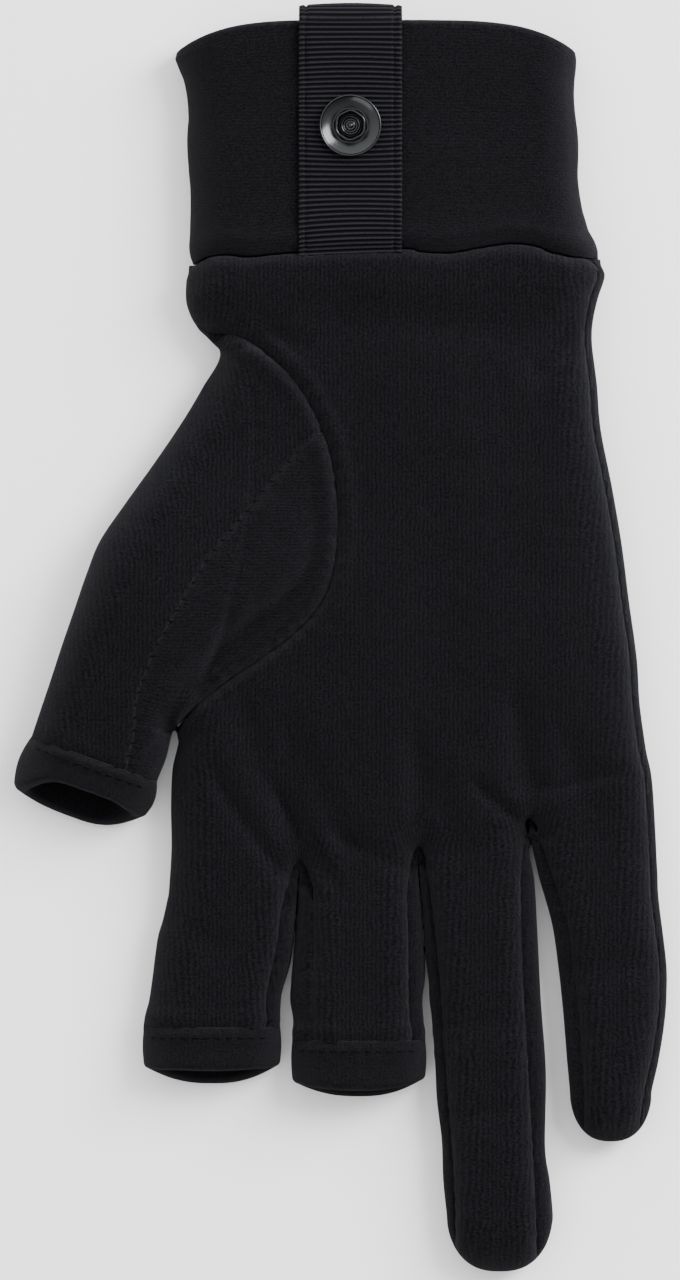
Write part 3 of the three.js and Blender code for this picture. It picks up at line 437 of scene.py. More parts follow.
def unroll(points):
    """Plan places near the silhouette, moved to where they lie on the cloth before it curls down."""
    far, foot = silhouette_distance(points)
    near = far < SIDE_ROUND
    flat = far.copy()
    flat[near] = SIDE_ROUND * 2 / math.pi * np.arccos(np.clip(1 - far[near] / SIDE_ROUND, -1, 1))
    scale = np.where(far > TINY, flat / np.maximum(far, TINY), 1)
    return foot + (points - foot) * scale[:, None]


def silhouette_distance(points):
    best = np.full(len(points), np.inf)
    foot = np.zeros((len(points), 2))
    for line in SILHOUETTE.values():
        far, near, _, _ = nearest_on(line, points)
        closer = far < best
        best[closer] = far[closer]
        foot[closer] = near[closer]
    return best, foot


# Height of the cloth: how fast the crown fades at the knuckles and how far a closed tip drops
CROWN_FADE = 4
TIP_DROP = 1.6


def palm_top(x, y):
    share = np.clip((x - KNUCKLE_LEFT[0]) / (KNUCKLE_RIGHT[0] - KNUCKLE_LEFT[0]), 0, 1)
    length = LEFT_LENGTH + share * (RIGHT_LENGTH - LEFT_LENGTH)
    down = -y / length
    top = share_between(PALM_ROWS, down, 3) * PALM_HEIGHT
    left = share_between(PALM_ROWS, down, 1) * PALM_WIDTH
    right = share_between(PALM_ROWS, down, 2) * PALM_WIDTH
    aside = np.clip((2 * x - left - right) / (right - left), -1, 1)
    return top + PALM_CROWN * (1 - aside**2) * np.clip(CROWN_FADE * (1 - down), 0, 1)


def finger_top(x, y):
    """Top height of whichever finger a place belongs to."""
    top = np.zeros_like(x)
    best = np.full(x.shape, np.inf)
    for name, sides in FINGER_SIDES.items():
        along = (finger_start(name) - y) / FINGER_LENGTH[name]
        inner = np.clip(along, 0, 1)
        left = share_between(sides["left"], inner, 1)
        right = share_between(sides["right"], inner, 1)
        far = np.abs(x - (left + right) / 2 * PALM_WIDTH)
        value = share_between(FINGER_TOPS[name], along, 1) * FINGER_HEIGHT
        past = np.clip((along - FINGER_END[name]) / (1 - FINGER_END[name]), 0, 1)
        value = value - TIP_DROP * past**2
        closer = far < best
        best[closer] = far[closer]
        top[closer] = value[closer]
    return top


# Soft valleys and ridges of the cloth: from x, y to x, y in shares of palm width and length,
# then how wide in mm, how high in mm with valleys negative, and how much sharper one side is
FOLDS = [
    (-0.100, 0.835, -0.081, 0.985, 3.2, -1.5, 1.0),
    (0.165, 0.830, 0.172, 0.965, 3.0, -1.4, 1.0),
    (0.375, 0.760, 0.400, 0.905, 3.2, -1.6, 1.0),
    (-0.180, 0.770, -0.110, 0.930, 4.2, -1.4, 1.4),
    (-0.080, 0.800, 0.020, 0.960, 3.6, -1.0, 1.3),
    (0.205, 0.860, 0.235, 0.960, 3.0, -1.0, 1.0),
    (0.470, 0.800, 0.520, 0.900, 3.4, -0.9, 1.0),
    (0.020, 0.150, 0.060, 0.420, 6.5, -0.9, 1.0),
    (0.250, 0.300, 0.330, 0.620, 8.0, 1.0, 1.0),
    (0.120, 0.520, 0.100, 0.740, 7.5, 0.8, 1.0),
    (0.440, 0.450, 0.470, 0.700, 6.5, 0.9, 1.0),
    (-0.200, 0.045, 0.420, 0.050, 3.4, 0.8, 1.0),
    (0.050, 0.100, 0.420, 0.125, 4.5, -1.0, 1.0),
    (-0.260, 0.100, -0.120, 0.135, 3.2, -1.4, 1.0),
    (0.490, 0.100, 0.420, 0.180, 3.4, -1.4, 1.0),
    (-0.330, 1.080, -0.260, 1.130, 3.0, -0.8, 1.0),
    (0.210, 1.270, 0.400, 1.250, 3.4, -0.6, 1.0),
    (0.210, 1.420, 0.400, 1.400, 3.0, -0.6, 1.0),
    (0.470, 1.180, 0.640, 1.160, 3.4, -0.8, 1.0),
]
# Small tucks where the strips are gathered at the crotches: as the folds, from place to place
TUCKS = [
    (-0.230, 0.880, -0.130, 1.000, 2.2, -1.3, 1.2),
    (-0.110, 0.900, -0.020, 1.010, 2.0, -1.1, 1.2),
    (0.020, 0.960, 0.120, 1.000, 1.9, -1.0, 1.0),
    (0.300, 0.880, 0.370, 0.930, 1.6, -1.2, 1.0),
    (0.440, 0.870, 0.560, 0.850, 1.9, -1.0, 1.0),
    (-0.098, 1.062, -0.072, 1.030, 1.1, -1.9, 1.0),
    (-0.072, 1.030, -0.048, 1.052, 1.0, -1.4, 1.0),
    (-0.085, 1.085, -0.074, 1.048, 0.8, 1.2, 1.0),
    (0.146, 1.010, 0.170, 0.998, 1.0, -1.5, 1.0),
    (0.170, 0.998, 0.190, 1.010, 0.9, -1.4, 1.0),
    (0.172, 1.030, 0.168, 1.008, 0.8, 1.0, 1.0),
    (0.366, 0.960, 0.398, 0.935, 1.2, -2.0, 1.0),
    (0.398, 0.935, 0.430, 0.955, 1.1, -1.5, 1.0),
    (0.384, 0.990, 0.404, 0.952, 0.9, 1.4, 1.0),
]


# Share of its length over which a fold runs out past its ends
FOLD_RUN_OUT = 0.35


def fold_height(x, y):
    total = np.zeros_like(x)
    for x0, d0, x1, d1, wide, high, skew in [*FOLDS, *TUCKS]:
        a = np.array([x0 * PALM_WIDTH, -d0 * PALM_LENGTH])
        b = np.array([x1 * PALM_WIDTH, -d1 * PALM_LENGTH])
        run = b - a
        length = np.linalg.norm(run)
        along = ((x - a[0]) * run[0] + (y - a[1]) * run[1]) / length
        across = ((x - a[0]) * run[1] - (y - a[1]) * run[0]) / length
        over = np.maximum(np.maximum(-along, along - length), 0) / (FOLD_RUN_OUT * length)
        breadth = np.where(across > 0, wide, wide / skew)
        total += high * np.exp(-(across / breadth) ** 2 - over**2)
    return total


RIPPLE_WAVES = 7
RIPPLE_SPREAD = (0.7, 1.6)


def ripple(x, y, seed, scale):
    """Soft uneven swell of hand-sewn cloth, from a few crossed waves."""
    turns = np.random.default_rng(seed)
    total = np.zeros_like(x)
    for _ in range(RIPPLE_WAVES):
        angle = turns.uniform(0, math.pi)
        wave = scale * turns.uniform(*RIPPLE_SPREAD)
        phase = turns.uniform(0, 2 * math.pi)
        total += np.sin((x * math.cos(angle) + y * math.sin(angle)) * 2 * math.pi / wave + phase)
    return total / RIPPLE_WAVES


# Swells of the cloth: height, seed, wavelength
HAND_SWELLS = [(0.35, 3, 34), (0.16, 8, 12)]
THUMB_SWELLS = [(0.5, 21, 26), (0.22, 5, 9)]
PANEL_SWELLS = [(0.10, 31, 7.0), (0.05, 32, 3.1)]


def swells(x, y, table):
    return sum(height * ripple(x, y, seed, wave) for height, seed, wave in table)


def thumb_coordinates(points):
    rel = points - THUMB_CROTCH
    up = -(rel @ THUMB_AXIS) / THUMB_GUSSET_LENGTH
    side = (rel @ THUMB_SIDE) / THUMB_WIDTH
    return up, side


# Where the palm's height turns into the fingers', and how the thumb's body runs into the hand
KNUCKLE_FROM = 9
KNUCKLE_BLEND = 16
FLANK_TO = -0.02
THUMB_FADE = 0.12
THUMB_BLEND = 1.2


def surface_heights(points, drop):
    """Top height of the cloth: the hand and the thumb that lies over it. drop is 0 at the silhouette."""
    x, y = points[:, 0], points[:, 1]
    knuckles = knuckle_at(x)
    into_fingers = smooth_step((knuckles + KNUCKLE_FROM - y) / KNUCKLE_BLEND)
    top = palm_top(x, y) * (1 - into_fingers) + finger_top(x, y) * into_fingers
    top = top + fold_height(x, y) + swells(x, y, HAND_SWELLS)
    hand = WAIST + (top - WAIST) * drop
    up, side = thumb_coordinates(points)
    right = curve_between(THUMB_ROWS, up, 2)
    from_right = np.clip((side - right) * THUMB_WIDTH / SIDE_ROUND, 0, 1)
    flank = np.sqrt(np.clip(1 - (1 - from_right) ** 2, 0, 1))
    flank = np.where(up < FLANK_TO, 1, flank)
    thumb_top = curve_between(THUMB_ROWS, up, 3) * THUMB_HEIGHT
    fade = smooth_step((1.0 - up) / THUMB_FADE)
    thumb_top = thumb_top + swells(x, y, THUMB_SWELLS)
    thumb = THUMB_WAIST + (thumb_top - THUMB_WAIST) * drop * flank
    thumb = np.where(side > right, thumb, 0) * fade
    gap = np.clip(0.5 + 0.5 * (thumb - hand) / THUMB_BLEND, 0, 1)
    return hand + (thumb - hand) * gap + THUMB_BLEND * gap * (1 - gap)


# Where the thumb's waist height takes over, across and along the thumb, and over which share
WAIST_SIDE, WAIST_UP, WAIST_BLEND = 0.1, 0.75, 0.3
UNDERSIDE_LIFT = 0.22
UNDERSIDE_SEED, UNDERSIDE_WAVE = 11, 30
CUFF_WAVE_REACH = 0.08


def waist_at(points):
    """Height of the widest line of the glove."""
    up, side = thumb_coordinates(points)
    thumbness = smooth_step((side - WAIST_SIDE) / WAIST_BLEND) * smooth_step((WAIST_UP - up) / WAIST_BLEND)
    return WAIST + (THUMB_WAIST - WAIST) * thumbness


def lay(points, upper):
    """Places of the unrolled plan, as places in space on the outer face of the cloth."""
    far, foot = silhouette_distance(points)
    share = np.clip(far / SIDE_ROUND, 0, 1) * math.pi / 2
    pulled = np.where(far < SIDE_ROUND, SIDE_ROUND * (1 - np.cos(share)), far)
    scale = np.where(far > TINY, pulled / np.maximum(far, TINY), 0)
    plan = foot + (points - foot) * scale[:, None]
    drop = np.sin(share)
    waist = waist_at(plan)
    high = surface_heights(plan, drop)
    high = np.where(drop < 1, waist + (high - WAIST) * (1 - drop) + (high - waist) * drop, high)
    swell = ripple(plan[:, 0], plan[:, 1], UNDERSIDE_SEED, UNDERSIDE_WAVE)
    low = waist * (1 - drop) + UNDERSIDE_LIFT * (1 + swell) * drop
    height = np.where(upper, np.maximum(high, low + 2 * CLOTH * drop), low)
    wave = hump(plan[:, 1], 0, CUFF_WAVE_REACH * PALM_LENGTH) * seam_wave(plan[:, 0])
    return np.column_stack([plan[:, 0], plan[:, 1] + wave, height])


# How a strip narrows toward the crotch: place along the finger, share of the strip that shows
STRIP_PINCH = [(1.35, 1.0), (1.1, 1.0), (0.8, 1.0), (0.55, 1.0), (0.3, 0.95), (0.14, 0.8), (0.04, 0.55)]


def fourchette_line(name):
    near, far, left, right, arch = FOURCHETTES[name]

    def shown(shares, along, pinch):
        return (shares[0] + (shares[1] - shares[0]) * min(along, 1)) * FOURCHETTE_SHOW * pinch

    down = [finger_edge(near, s, "right") - np.array([shown(left, s, pinch), 0]) for s, pinch in STRIP_PINCH]
    back = [finger_edge(far, s, "left") + np.array([shown(right, s, pinch), 0]) for s, pinch in STRIP_PINCH]
    middle = (finger_edge(near, 0, "right")[0] + finger_edge(far, 0, "left")[0]) / 2
    top = np.array([middle, knuckle_at(middle) + arch * ARCH_RISE])
    return spline([*down, top, *back[::-1]])


SIDE_SEAM_INSET = np.array([1.3, 0])
SIDE_SEAM_TOP = np.array([0, 4.0])
SIDE_SEAM_TIP = 3
SIDE_SEAM_END = np.array([0, 1.5])


def side_seam_line():
    """The seam on the little finger's side, just inside the silhouette on the palm side."""
    hand = [hand_point(row[0], 2) - SIDE_SEAM_INSET for row in PALM_ROWS[:-1]]
    finger = [place - SIDE_SEAM_INSET for place in finger_side("little", "right")]
    tip = tip_points("little")[SIDE_SEAM_TIP] + SIDE_SEAM_END
    return spline([hand[0] + SIDE_SEAM_TOP, *hand, *finger[1:], tip])


def box_between(x0, x1, y0, y1):
    return np.array([[x0, y0], [x1, y0], [x1, y1], [x0, y1]])


class Region:
    """A part of the plan: inside one outline and outside others."""

    def __init__(self, within, without):
        self.within = [unroll_loop(w) for w in within]
        self.without = [unroll_loop(w) for w in without]

    def distance(self, points):
        """Distance to the region's edge, positive inside."""
        best = np.full(len(points), np.inf)
        for loop in [*self.within, *self.without]:
            best = np.minimum(best, nearest_on(np.vstack([loop, loop[:1]]), points)[0])
        return np.where(self.holds(points), best, -best)

    def holds(self, points):
        """Which places lie in the region."""
        result = np.ones(len(points), bool)
        for loop in self.within:
            result &= inside(loop, points)
        for loop in self.without:
            result &= ~inside(loop, points)
        return result

    def holds_grid(self, xs, ys):
        """Which places of a grid lie in the region, row by row."""
        result = np.ones((len(ys), len(xs)), bool)
        for loop in self.within:
            result &= inside_grid(loop, xs, ys)
        for loop in self.without:
            result &= ~inside_grid(loop, xs, ys)
        return result


def inside_grid(loop, xs, ys):
    x0, y0 = loop.T
    x1, y1 = np.roll(loop, -1, axis=0).T
    result = np.zeros((len(ys), len(xs)), bool)
    for row, y in enumerate(ys):
        crosses = (y0 > y) != (y1 > y)
        cuts = x0[crosses] + (y - y0[crosses]) * (x1 - x0)[crosses] / (y1 - y0)[crosses]
        result[row] = np.searchsorted(np.sort(cuts), xs) % 2 == 1
    return result


BOX_CORNERS = 4


def unroll_loop(loop):
    """A loop with close points, in the unrolled plan unless it is a plain box."""
    dense = [loop[0]]
    for a, b in zip(loop, np.roll(loop, -1, axis=0)):
        count = max(1, int(np.linalg.norm(b - a) / LINE_STEP))
        dense.extend(a + (b - a) * (k + 1) / count for k in range(count))
    dense = np.array(dense[:-1])
    return dense if len(loop) == BOX_CORNERS else unroll(dense)


# How close to the region's edge a stretch of a loop has to be to bound it, as a share of its step
ON_EDGE = 0.35
WELD_2D = 1e-4
SEGMENT_SHARES = (0, 1 / 3, 2 / 3)


def rim_segments(region):
    """The stretches of a region's loops that bound it, as places and pairs of their numbers."""
    places, pairs = [], []
    for loop in [*region.within, *region.without]:
        middles = (loop + np.roll(loop, -1, axis=0)) / 2
        depth = region.distance(middles)
        start = sum(len(p) for p in places)
        places.append(loop)
        close = np.nonzero(np.abs(depth) < ON_EDGE * LINE_STEP)[0]
        pairs += [(start + i, start + (i + 1) % len(loop)) for i in close]
    return np.vstack(places), np.array(pairs)


def keep_used(places, groups):
    """The places that some group names, and the groups with their new numbers."""
    used = np.unique(groups)
    number = np.full(len(places), -1)
    number[used] = np.arange(len(used))
    return places[used], number[groups]


def inner_nodes(region, rim, ends):
    """Places of a square grid in the region, without those beside its edge."""
    low, high = rim.min(0), rim.max(0)
    xs, ys = np.arange(low[0], high[0], GRID), np.arange(low[1], high[1], GRID)
    kept = region.holds_grid(xs, ys)
    for share in SEGMENT_SHARES:
        place = ends[:, 0] + share * (ends[:, 1] - ends[:, 0])
        column = np.clip(np.round((place[:, 0] - low[0]) / GRID).astype(int), 0, len(xs) - 1)
        row = np.clip(np.round((place[:, 1] - low[1]) / GRID).astype(int), 0, len(ys) - 1)
        kept[row, column] = False
    gx, gy = np.meshgrid(xs, ys)
    return np.column_stack([gx[kept], gy[kept]])


def patch(region, upper):
    """One side of a panel, with exact edges: its places in space, in the unrolled plan and its faces."""
    rim, pairs = keep_used(*rim_segments(region))
    corners = [Vector(place) for place in np.vstack([rim, inner_nodes(region, rim, rim[pairs])])]
    edges = [tuple(int(i) for i in pair) for pair in pairs]
    flat, _, faces, origin, *_ = delaunay_2d_cdt(corners, edges, [], 0, WELD_2D)
    flat = np.array([tuple(place) for place in flat])
    faces = np.array(faces, int)
    on_rim = np.array([not came or min(came) < len(rim) for came in origin])
    doubtful = on_rim[faces].all(1)
    good = ~doubtful
    good[doubtful] = region.holds(flat[faces[doubtful]].mean(1))
    flat, faces = keep_used(flat, faces[good])
    if not upper:
        faces = faces[:, ::-1]
    return lay(flat, upper), flat, faces.tolist()


def mesh_object(name, points, faces, uv=None):
    mesh = bpy.data.meshes.new(name)
    mesh.from_pydata([tuple(p) for p in points], [], [tuple(int(i) for i in face) for face in faces])
    mesh.validate()
    if uv is not None:
        layer = mesh.uv_layers.new(name="cloth")
        loops = np.zeros(len(mesh.loops), int)
        mesh.loops.foreach_get("vertex_index", loops)
        layer.data.foreach_set("uv", np.asarray(uv, float)[loops].ravel())
    mesh.polygons.foreach_set("use_smooth", [True] * len(mesh.polygons))
    obj = bpy.data.objects.new(name, mesh)
    bpy.context.scene.collection.objects.link(obj)
    return obj


def vertex_normals(obj):
    normals = np.zeros(3 * len(obj.data.vertices))
    obj.data.vertices.foreach_get("normal", normals)
    return normals.reshape(-1, 3)


# Relief at a seam: how deep and wide the dip is, the roll of cloth beside it, and the puckers along it
SEAM_DIP, SEAM_DIP_WIDTH = 0.75, 0.75
SEAM_ROLL, SEAM_ROLL_AT, SEAM_ROLL_WIDTH = 0.38, 2.3, 1.3
SEAM_PUCKER, SEAM_PUCKER_PITCH, SEAM_PUCKER_WIDTH = 0.11, 3.4, 2.4
PUCKER_VARIES, PUCKER_VARIES_BY = 0.6, 0.37
# Within this distance of the silhouette the relief fades, so that the outline stays true
RIM_CALM = 2.2
# Highest relief on the underside, the least height over the floor and how close places are welded
UNDERSIDE_RELIEF = 0.05
OVER_FLOOR = 0.02
WELD = 0.08
# Share of the cloth's thickness that the walls have, so that the plies don't touch
WALL_SHARE = 0.86


def seam_relief(far, along):
    """How the cloth dips into a seam, puffs beside it and puckers along it."""
    dip = -SEAM_DIP * hump(far, 0, SEAM_DIP_WIDTH)
    roll = SEAM_ROLL * hump(far, SEAM_ROLL_AT, SEAM_ROLL_WIDTH)
    pucker = SEAM_PUCKER * np.sin(along * 2 * math.pi / SEAM_PUCKER_PITCH) * hump(far, 0, SEAM_PUCKER_WIDTH)
    return dip + roll + pucker * (1 + PUCKER_VARIES * np.sin(along * PUCKER_VARIES_BY))


def weld(points, faces):
    """Joins places that lie together: the numbers of the places kept, and the faces that are left."""
    numbers = {}
    target = np.zeros(len(points), int)
    kept = []
    for i, place in enumerate(points):
        key = tuple(np.round(place / WELD).astype(int))
        if key not in numbers:
            numbers[key] = len(kept)
            kept.append(i)
        target[i] = numbers[key]
    faces = [[target[i] for i in face] for face in faces]
    return kept, [face for face in faces if len(set(face)) == len(face)]


def panel(name, sides, seams):
    """A cloth panel from its regions, each on the upper or the lower side, with its seams and their depth."""
    points, flats, faces, uppers = [], [], [], []
    for region, upper in sides:
        place, flat, part = patch(region, upper)
        start = sum(len(p) for p in points)
        points.append(place)
        flats.append(flat)
        uppers.append(np.full(len(flat), upper))
        faces += [[i + start for i in face] for face in part]
    points, flats, uppers = np.vstack(points), np.vstack(flats), np.concatenate(uppers)
    kept, faces = weld(points, faces)
    points, flats, uppers = points[kept], flats[kept], uppers[kept]
    obj = mesh_object(name, points, faces, flats)
    relief = swells(flats[:, 0], flats[:, 1], PANEL_SWELLS)
    for seam, strength in seams:
        far, _, along, _ = nearest_on(unroll(seam), flats)
        relief += strength * seam_relief(far, along)
    rim, _ = silhouette_distance(flats)
    relief = np.where(uppers, relief, np.minimum(relief, UNDERSIDE_RELIEF)) * smooth_step(rim / RIM_CALM)
    points = points + vertex_normals(obj) * relief[:, None]
    points[:, 2] = np.maximum(points[:, 2], OVER_FLOOR)
    obj.data.vertices.foreach_set("co", points.ravel())
    obj.data.update()
    thicken(obj, CLOTH * WALL_SHARE)
    return obj


def thicken(obj, thickness):
    solid = obj.modifiers.new("thickness", "SOLIDIFY")
    solid.thickness = thickness
    solid.offset = -1
    solid.use_even_offset = False


# Bands of folded cloth: rows round a tube, with the wall led out, over the fold and back in
FOLD_TURNS = np.radians(np.linspace(0, 180, 13))[1:-1]
LEAST_STEPS = 4
# Largest share of a band's width that one rounded side takes
ROUND_SHARE = 0.42


def ring(left, right, top, waist, crown, inset, count):
    """Places round a cross section: place, how far it is turned up or down, and how far aside it lies."""
    span = np.linalg.norm(right - left)
    width = span - 2 * inset
    round_by = min(SIDE_ROUND, ROUND_SHARE * span) - inset
    side = np.linspace(0, 1, BAND_SIDE_STEPS, endpoint=False)
    middle = np.linspace(0, 1, count)
    edge = np.concatenate([side, np.ones(count), side[::-1]])
    from_edge = round_by * (1 - np.cos(side * math.pi / 2))
    flat = round_by + (width - 2 * round_by) * middle
    across = np.concatenate([from_edge, flat, width - from_edge[::-1]])
    share = np.concatenate([np.zeros(len(side)), middle, np.ones(len(side))])
    rise = np.sin(edge * math.pi / 2)
    plan = left + (right - left) / span * (inset + across)[:, None]
    high = waist + (top - inset - waist) * rise + crown * (1 - (2 * share - 1) ** 2)
    low = waist - (waist - inset) * rise
    upper = np.column_stack([plan, high, rise, 2 * across / width - 1])
    lower = np.column_stack([plan, low, -rise, 2 * across / width - 1])
    return np.vstack([upper, lower[1:-1][::-1]])


def folded_wall(length, double):
    """Steps along a folded band, as how far along and how deep in: outer ply, fold and inner ply."""
    bend = double / 2
    out = np.linspace(0, length - bend, max(LEAST_STEPS, int(length / GRID)))
    steps = [(along, 0.0) for along in out]
    steps += [(length - bend + bend * math.sin(t), bend - bend * math.cos(t)) for t in FOLD_TURNS]
    return steps + [(along, double) for along in out[::-1]]


def grid_faces(rows, count, closed):
    """Faces between rows of as many places each, closed round or open."""
    faces = []
    for i in range(rows - 1):
        for j in range(count if closed else count - 1):
            k = (j + 1) % count
            faces.append([i * count + j, i * count + k, (i + 1) * count + k, (i + 1) * count + j])
    return faces


def band(name, row_at, length, count, shape):
    """A folded band of cloth from its row function and the function that shapes each row."""
    rows, uvs = [], []
    for along, inset in folded_wall(length, 2 * CLOTH + FOLD_SPACE):
        loop = ring(*row_at(along), inset, count)
        steps = np.linalg.norm(np.diff(loop[:, :3], axis=0), axis=1)
        around = np.concatenate([[0], np.cumsum(steps)])
        rows.append(shape(loop, along, inset))
        uvs.append(np.column_stack([around, np.full(len(loop), along - inset * 2)]))
    points = np.vstack(rows)
    per = len(rows[0])
    obj = mesh_object(name, points, grid_faces(len(rows), per, True), np.vstack(uvs))
    outward = ((points[:per] - points.mean(0)) * vertex_normals(obj)[:per]).sum()
    if outward < 0:
        obj.data.flip_normals()
    thicken(obj, CLOTH * WALL_SHARE)
    return obj


# Swells of a band: height, step of the seed, wavelength
BAND_SWELLS = [(0.16, 0, 16), (0.09, 1, 5.5)]
# The cuff: roll of cloth over the seam, dip at the seam, dip under the ribbon and slack near the fold
CUFF_DIP, CUFF_DIP_WIDTH = 0.9, 0.9
CUFF_PUFF, CUFF_PUFF_AT, CUFF_PUFF_WIDTH = 0.55, 3.2, 1.8
CUFF_SEED = 41
CUFF_SLACK, CUFF_SLACK_AT, CUFF_SLACK_WIDTH = 0.35, 0.75, 0.2
CUFF_SLACK_TURN, CUFF_SLACK_PHASE = 0.16, 1.1
CUFF_SEAM_REACH = 0.2
SIDE_DIP, SIDE_DIP_AT, SIDE_DIP_WIDTH = 0.5, 1.1, 0.55
EDGE_WAVE, EDGE_WAVE_TURN = 0.25, 0.33
PRESSED, PRESSED_PAST = 0.35, 2.5


def swell(points, first_seed):
    table = [(height, first_seed + step, wave) for height, step, wave in BAND_SWELLS]
    return swells(points[:, 0], points[:, 1], table)


def pressed_at(x):
    """How the ribbon presses the cuff down."""
    return -PRESSED * hump(x, RIBBON_OFFSET, RIBBON_WIDTH / 2 + PRESSED_PAST, 4)


def cuff_row(along):
    up = min(max(along / CUFF_LENGTH, 0), 1)
    left = np.array([share_between(CUFF_ROWS, up, 1) * CUFF_WIDTH, along])
    right = np.array([share_between(CUFF_ROWS, up, 2) * CUFF_WIDTH, along])
    return left, right, share_between(CUFF_ROWS, up, 3) * CUFF_HEIGHT, WAIST, CUFF_CROWN


def cuff_shape(loop, along, inset):
    """The cuff's arched fold, its wavy seam and the soft roll of its cloth."""
    x, y, z, rise, aside = loop.T
    up = along / CUFF_LENGTH
    arch = CUFF_ARCH * np.abs(aside) ** 5 * up**4
    wave = seam_wave(x) * hump(along, 0, CUFF_SEAM_REACH * CUFF_LENGTH)
    places = np.column_stack([x, y - arch + wave, z])
    if inset > 0:
        return places
    puff = CUFF_PUFF * hump(along, CUFF_PUFF_AT, CUFF_PUFF_WIDTH) - CUFF_DIP * hump(along, 0, CUFF_DIP_WIDTH)
    side_dip = SIDE_DIP * hump((1 - aside) * CUFF_WIDTH / 2, SIDE_DIP_AT, SIDE_DIP_WIDTH)
    slack = CUFF_SLACK * np.sin(x * CUFF_SLACK_TURN + CUFF_SLACK_PHASE)
    slack = slack * hump(up, CUFF_SLACK_AT, CUFF_SLACK_WIDTH)
    relief = puff + pressed_at(x) - side_dip + swell(places, CUFF_SEED) + slack
    places[:, 2] += np.maximum(rise, 0) * relief
    edge = puff * 0.5 + EDGE_WAVE * np.sin(along * EDGE_WAVE_TURN)
    places[:, 0] += (1 - np.abs(rise)) * np.sign(aside) * edge
    return places


# Length of hem that lies under the end of a panel
HEM_LAP = 0.6
# Where along a hem its first dip and its puckers lie, and the share of the relief on the inner ply
HEM_DIP_AT, HEM_PUCKER_AT, INNER_RELIEF = 0.2, 1.2, 0.3
# corners: how far each corner stands back, with its power; lip: how far the upper edge stands back;
# dip: depth, width; roll: height, place, width; pucker: height, pitch, reach; bulge: width, how early
FINGER_HEM = {
    "power": 2.6, "lip": 0.75, "dip": (0.35, 0.8), "roll": (0.25, 2.6, 1.5), "pucker": (0.16, 3.1, 2.2),
    "gape": 0.9, "bulge": (0.25, 1.1), "crown": 0.3, "steps": 60,
}
HEM_LOOKS = {
    "index": {**FINGER_HEM, "corners": (3.0, 3.4), "setback": 0.8 * LIP_SETBACK, "seed": 51},
    "middle": {**FINGER_HEM, "corners": (2.6, 3.2), "setback": 0.4 * LIP_SETBACK, "seed": 57},
    "thumb": {
        "power": 3, "lip": 0.7, "dip": (0.4, 0.9), "roll": (0.4, 3.0, 1.7), "pucker": (0.2, 3.6, 2.4),
        "gape": 0, "bulge": (0.9, 1.05), "crown": 0.4, "steps": 64,
        "corners": (4.6, 1.4), "setback": THUMB_LIP_SETBACK, "seed": 61,
    },
}


def hem(name, row, length, back, sideways, across_at):
    """An open end's band: back and sideways are directions in the plan, across_at places the puckers."""
    look = HEM_LOOKS[name]
    dip, dip_width = look["dip"]
    roll, roll_at, roll_width = look["roll"]
    pucker, pitch, reach = look["pucker"]
    bulge, early = look["bulge"]

    def shape(loop, along, inset):
        share = along / length
        aside = loop[:, 4]
        rise = np.maximum(loop[:, 3], 0)
        bend = np.abs(aside) ** look["power"]
        pulled = look["setback"] * rise * (1 - look["lip"] * bend)
        pulled = pulled + np.where(aside < 0, *look["corners"]) * bend
        places = loop[:, :3].copy()
        places[:, :2] += (pulled * share)[:, None] * back
        relief = roll * hump(along, roll_at, roll_width) - dip * hump(along, HEM_DIP_AT, dip_width)
        waves = np.sin(across_at(loop) * 2 * math.pi / pitch)
        relief = relief + pucker * waves * hump(along, HEM_PUCKER_AT, reach)
        outer = 1 if inset == 0 else INNER_RELIEF
        places[:, 2] += rise * (relief + swell(places, look["seed"])) * outer
        places[:, 2] += rise * look["gape"] * share**2 * (1 - aside**2)
        out = bulge * math.sin(math.pi * min(share * early, 1)) * (1 - np.abs(loop[:, 3]))
        places[:, :2] += (np.sign(aside) * out)[:, None] * sideways
        return places

    return band(name + "_hem", row, length, look["steps"], shape)


def finger_hem(name):
    start = FINGER_END[name] - HEM_LAP / FINGER_LENGTH[name]
    left, right = finger_edge(name, start, "left"), finger_edge(name, start, "right")
    top = FINGER_TOPS[name][-1][1] * FINGER_HEIGHT

    def row(along):
        down = np.array([0, along])
        return left - down, np.array([right[0], left[1]]) - down, top, WAIST, HEM_LOOKS[name]["crown"]

    length = (1 - start) * FINGER_LENGTH[name]
    return hem(name, row, length, np.array([0, 1]), np.array([1, 0]), lambda loop: loop[:, 0])


def thumb_hem():
    end, left, right, top = THUMB_ROWS[-1]
    start = end + HEM_LAP / THUMB_GUSSET_LENGTH

    def row(along):
        up = start - along / THUMB_GUSSET_LENGTH
        return (thumb_place(up, right), thumb_place(up, left), top * THUMB_HEIGHT, THUMB_WAIST,
                HEM_LOOKS["thumb"]["crown"])

    length = start * THUMB_GUSSET_LENGTH + THUMB_REACH
    return hem("thumb", row, length, -THUMB_AXIS, THUMB_SIDE, lambda loop: loop[:, 4] * THUMB_WIDTH / 2)


def cuff_top_at(x, y):
    up = np.clip(y / CUFF_LENGTH, 0, 1)
    left = share_between(CUFF_ROWS, up, 1) * CUFF_WIDTH
    right = share_between(CUFF_ROWS, up, 2) * CUFF_WIDTH
    aside = (x - (left + right) / 2) / ((right - left) / 2 - SIDE_ROUND)
    return share_between(CUFF_ROWS, up, 3) * CUFF_HEIGHT + CUFF_CROWN * (1 - aside**2) + pressed_at(x)


RIB_PITCH = 0.98
RIB_HEIGHT = 0.34
RIB_SHARPNESS = 1.5
RIBBON_STEPS_ACROSS = 44
RIBBON_STEP = 0.13
RIBBON_LIFT = 0.45 + RIBBON_THICKNESS / 2
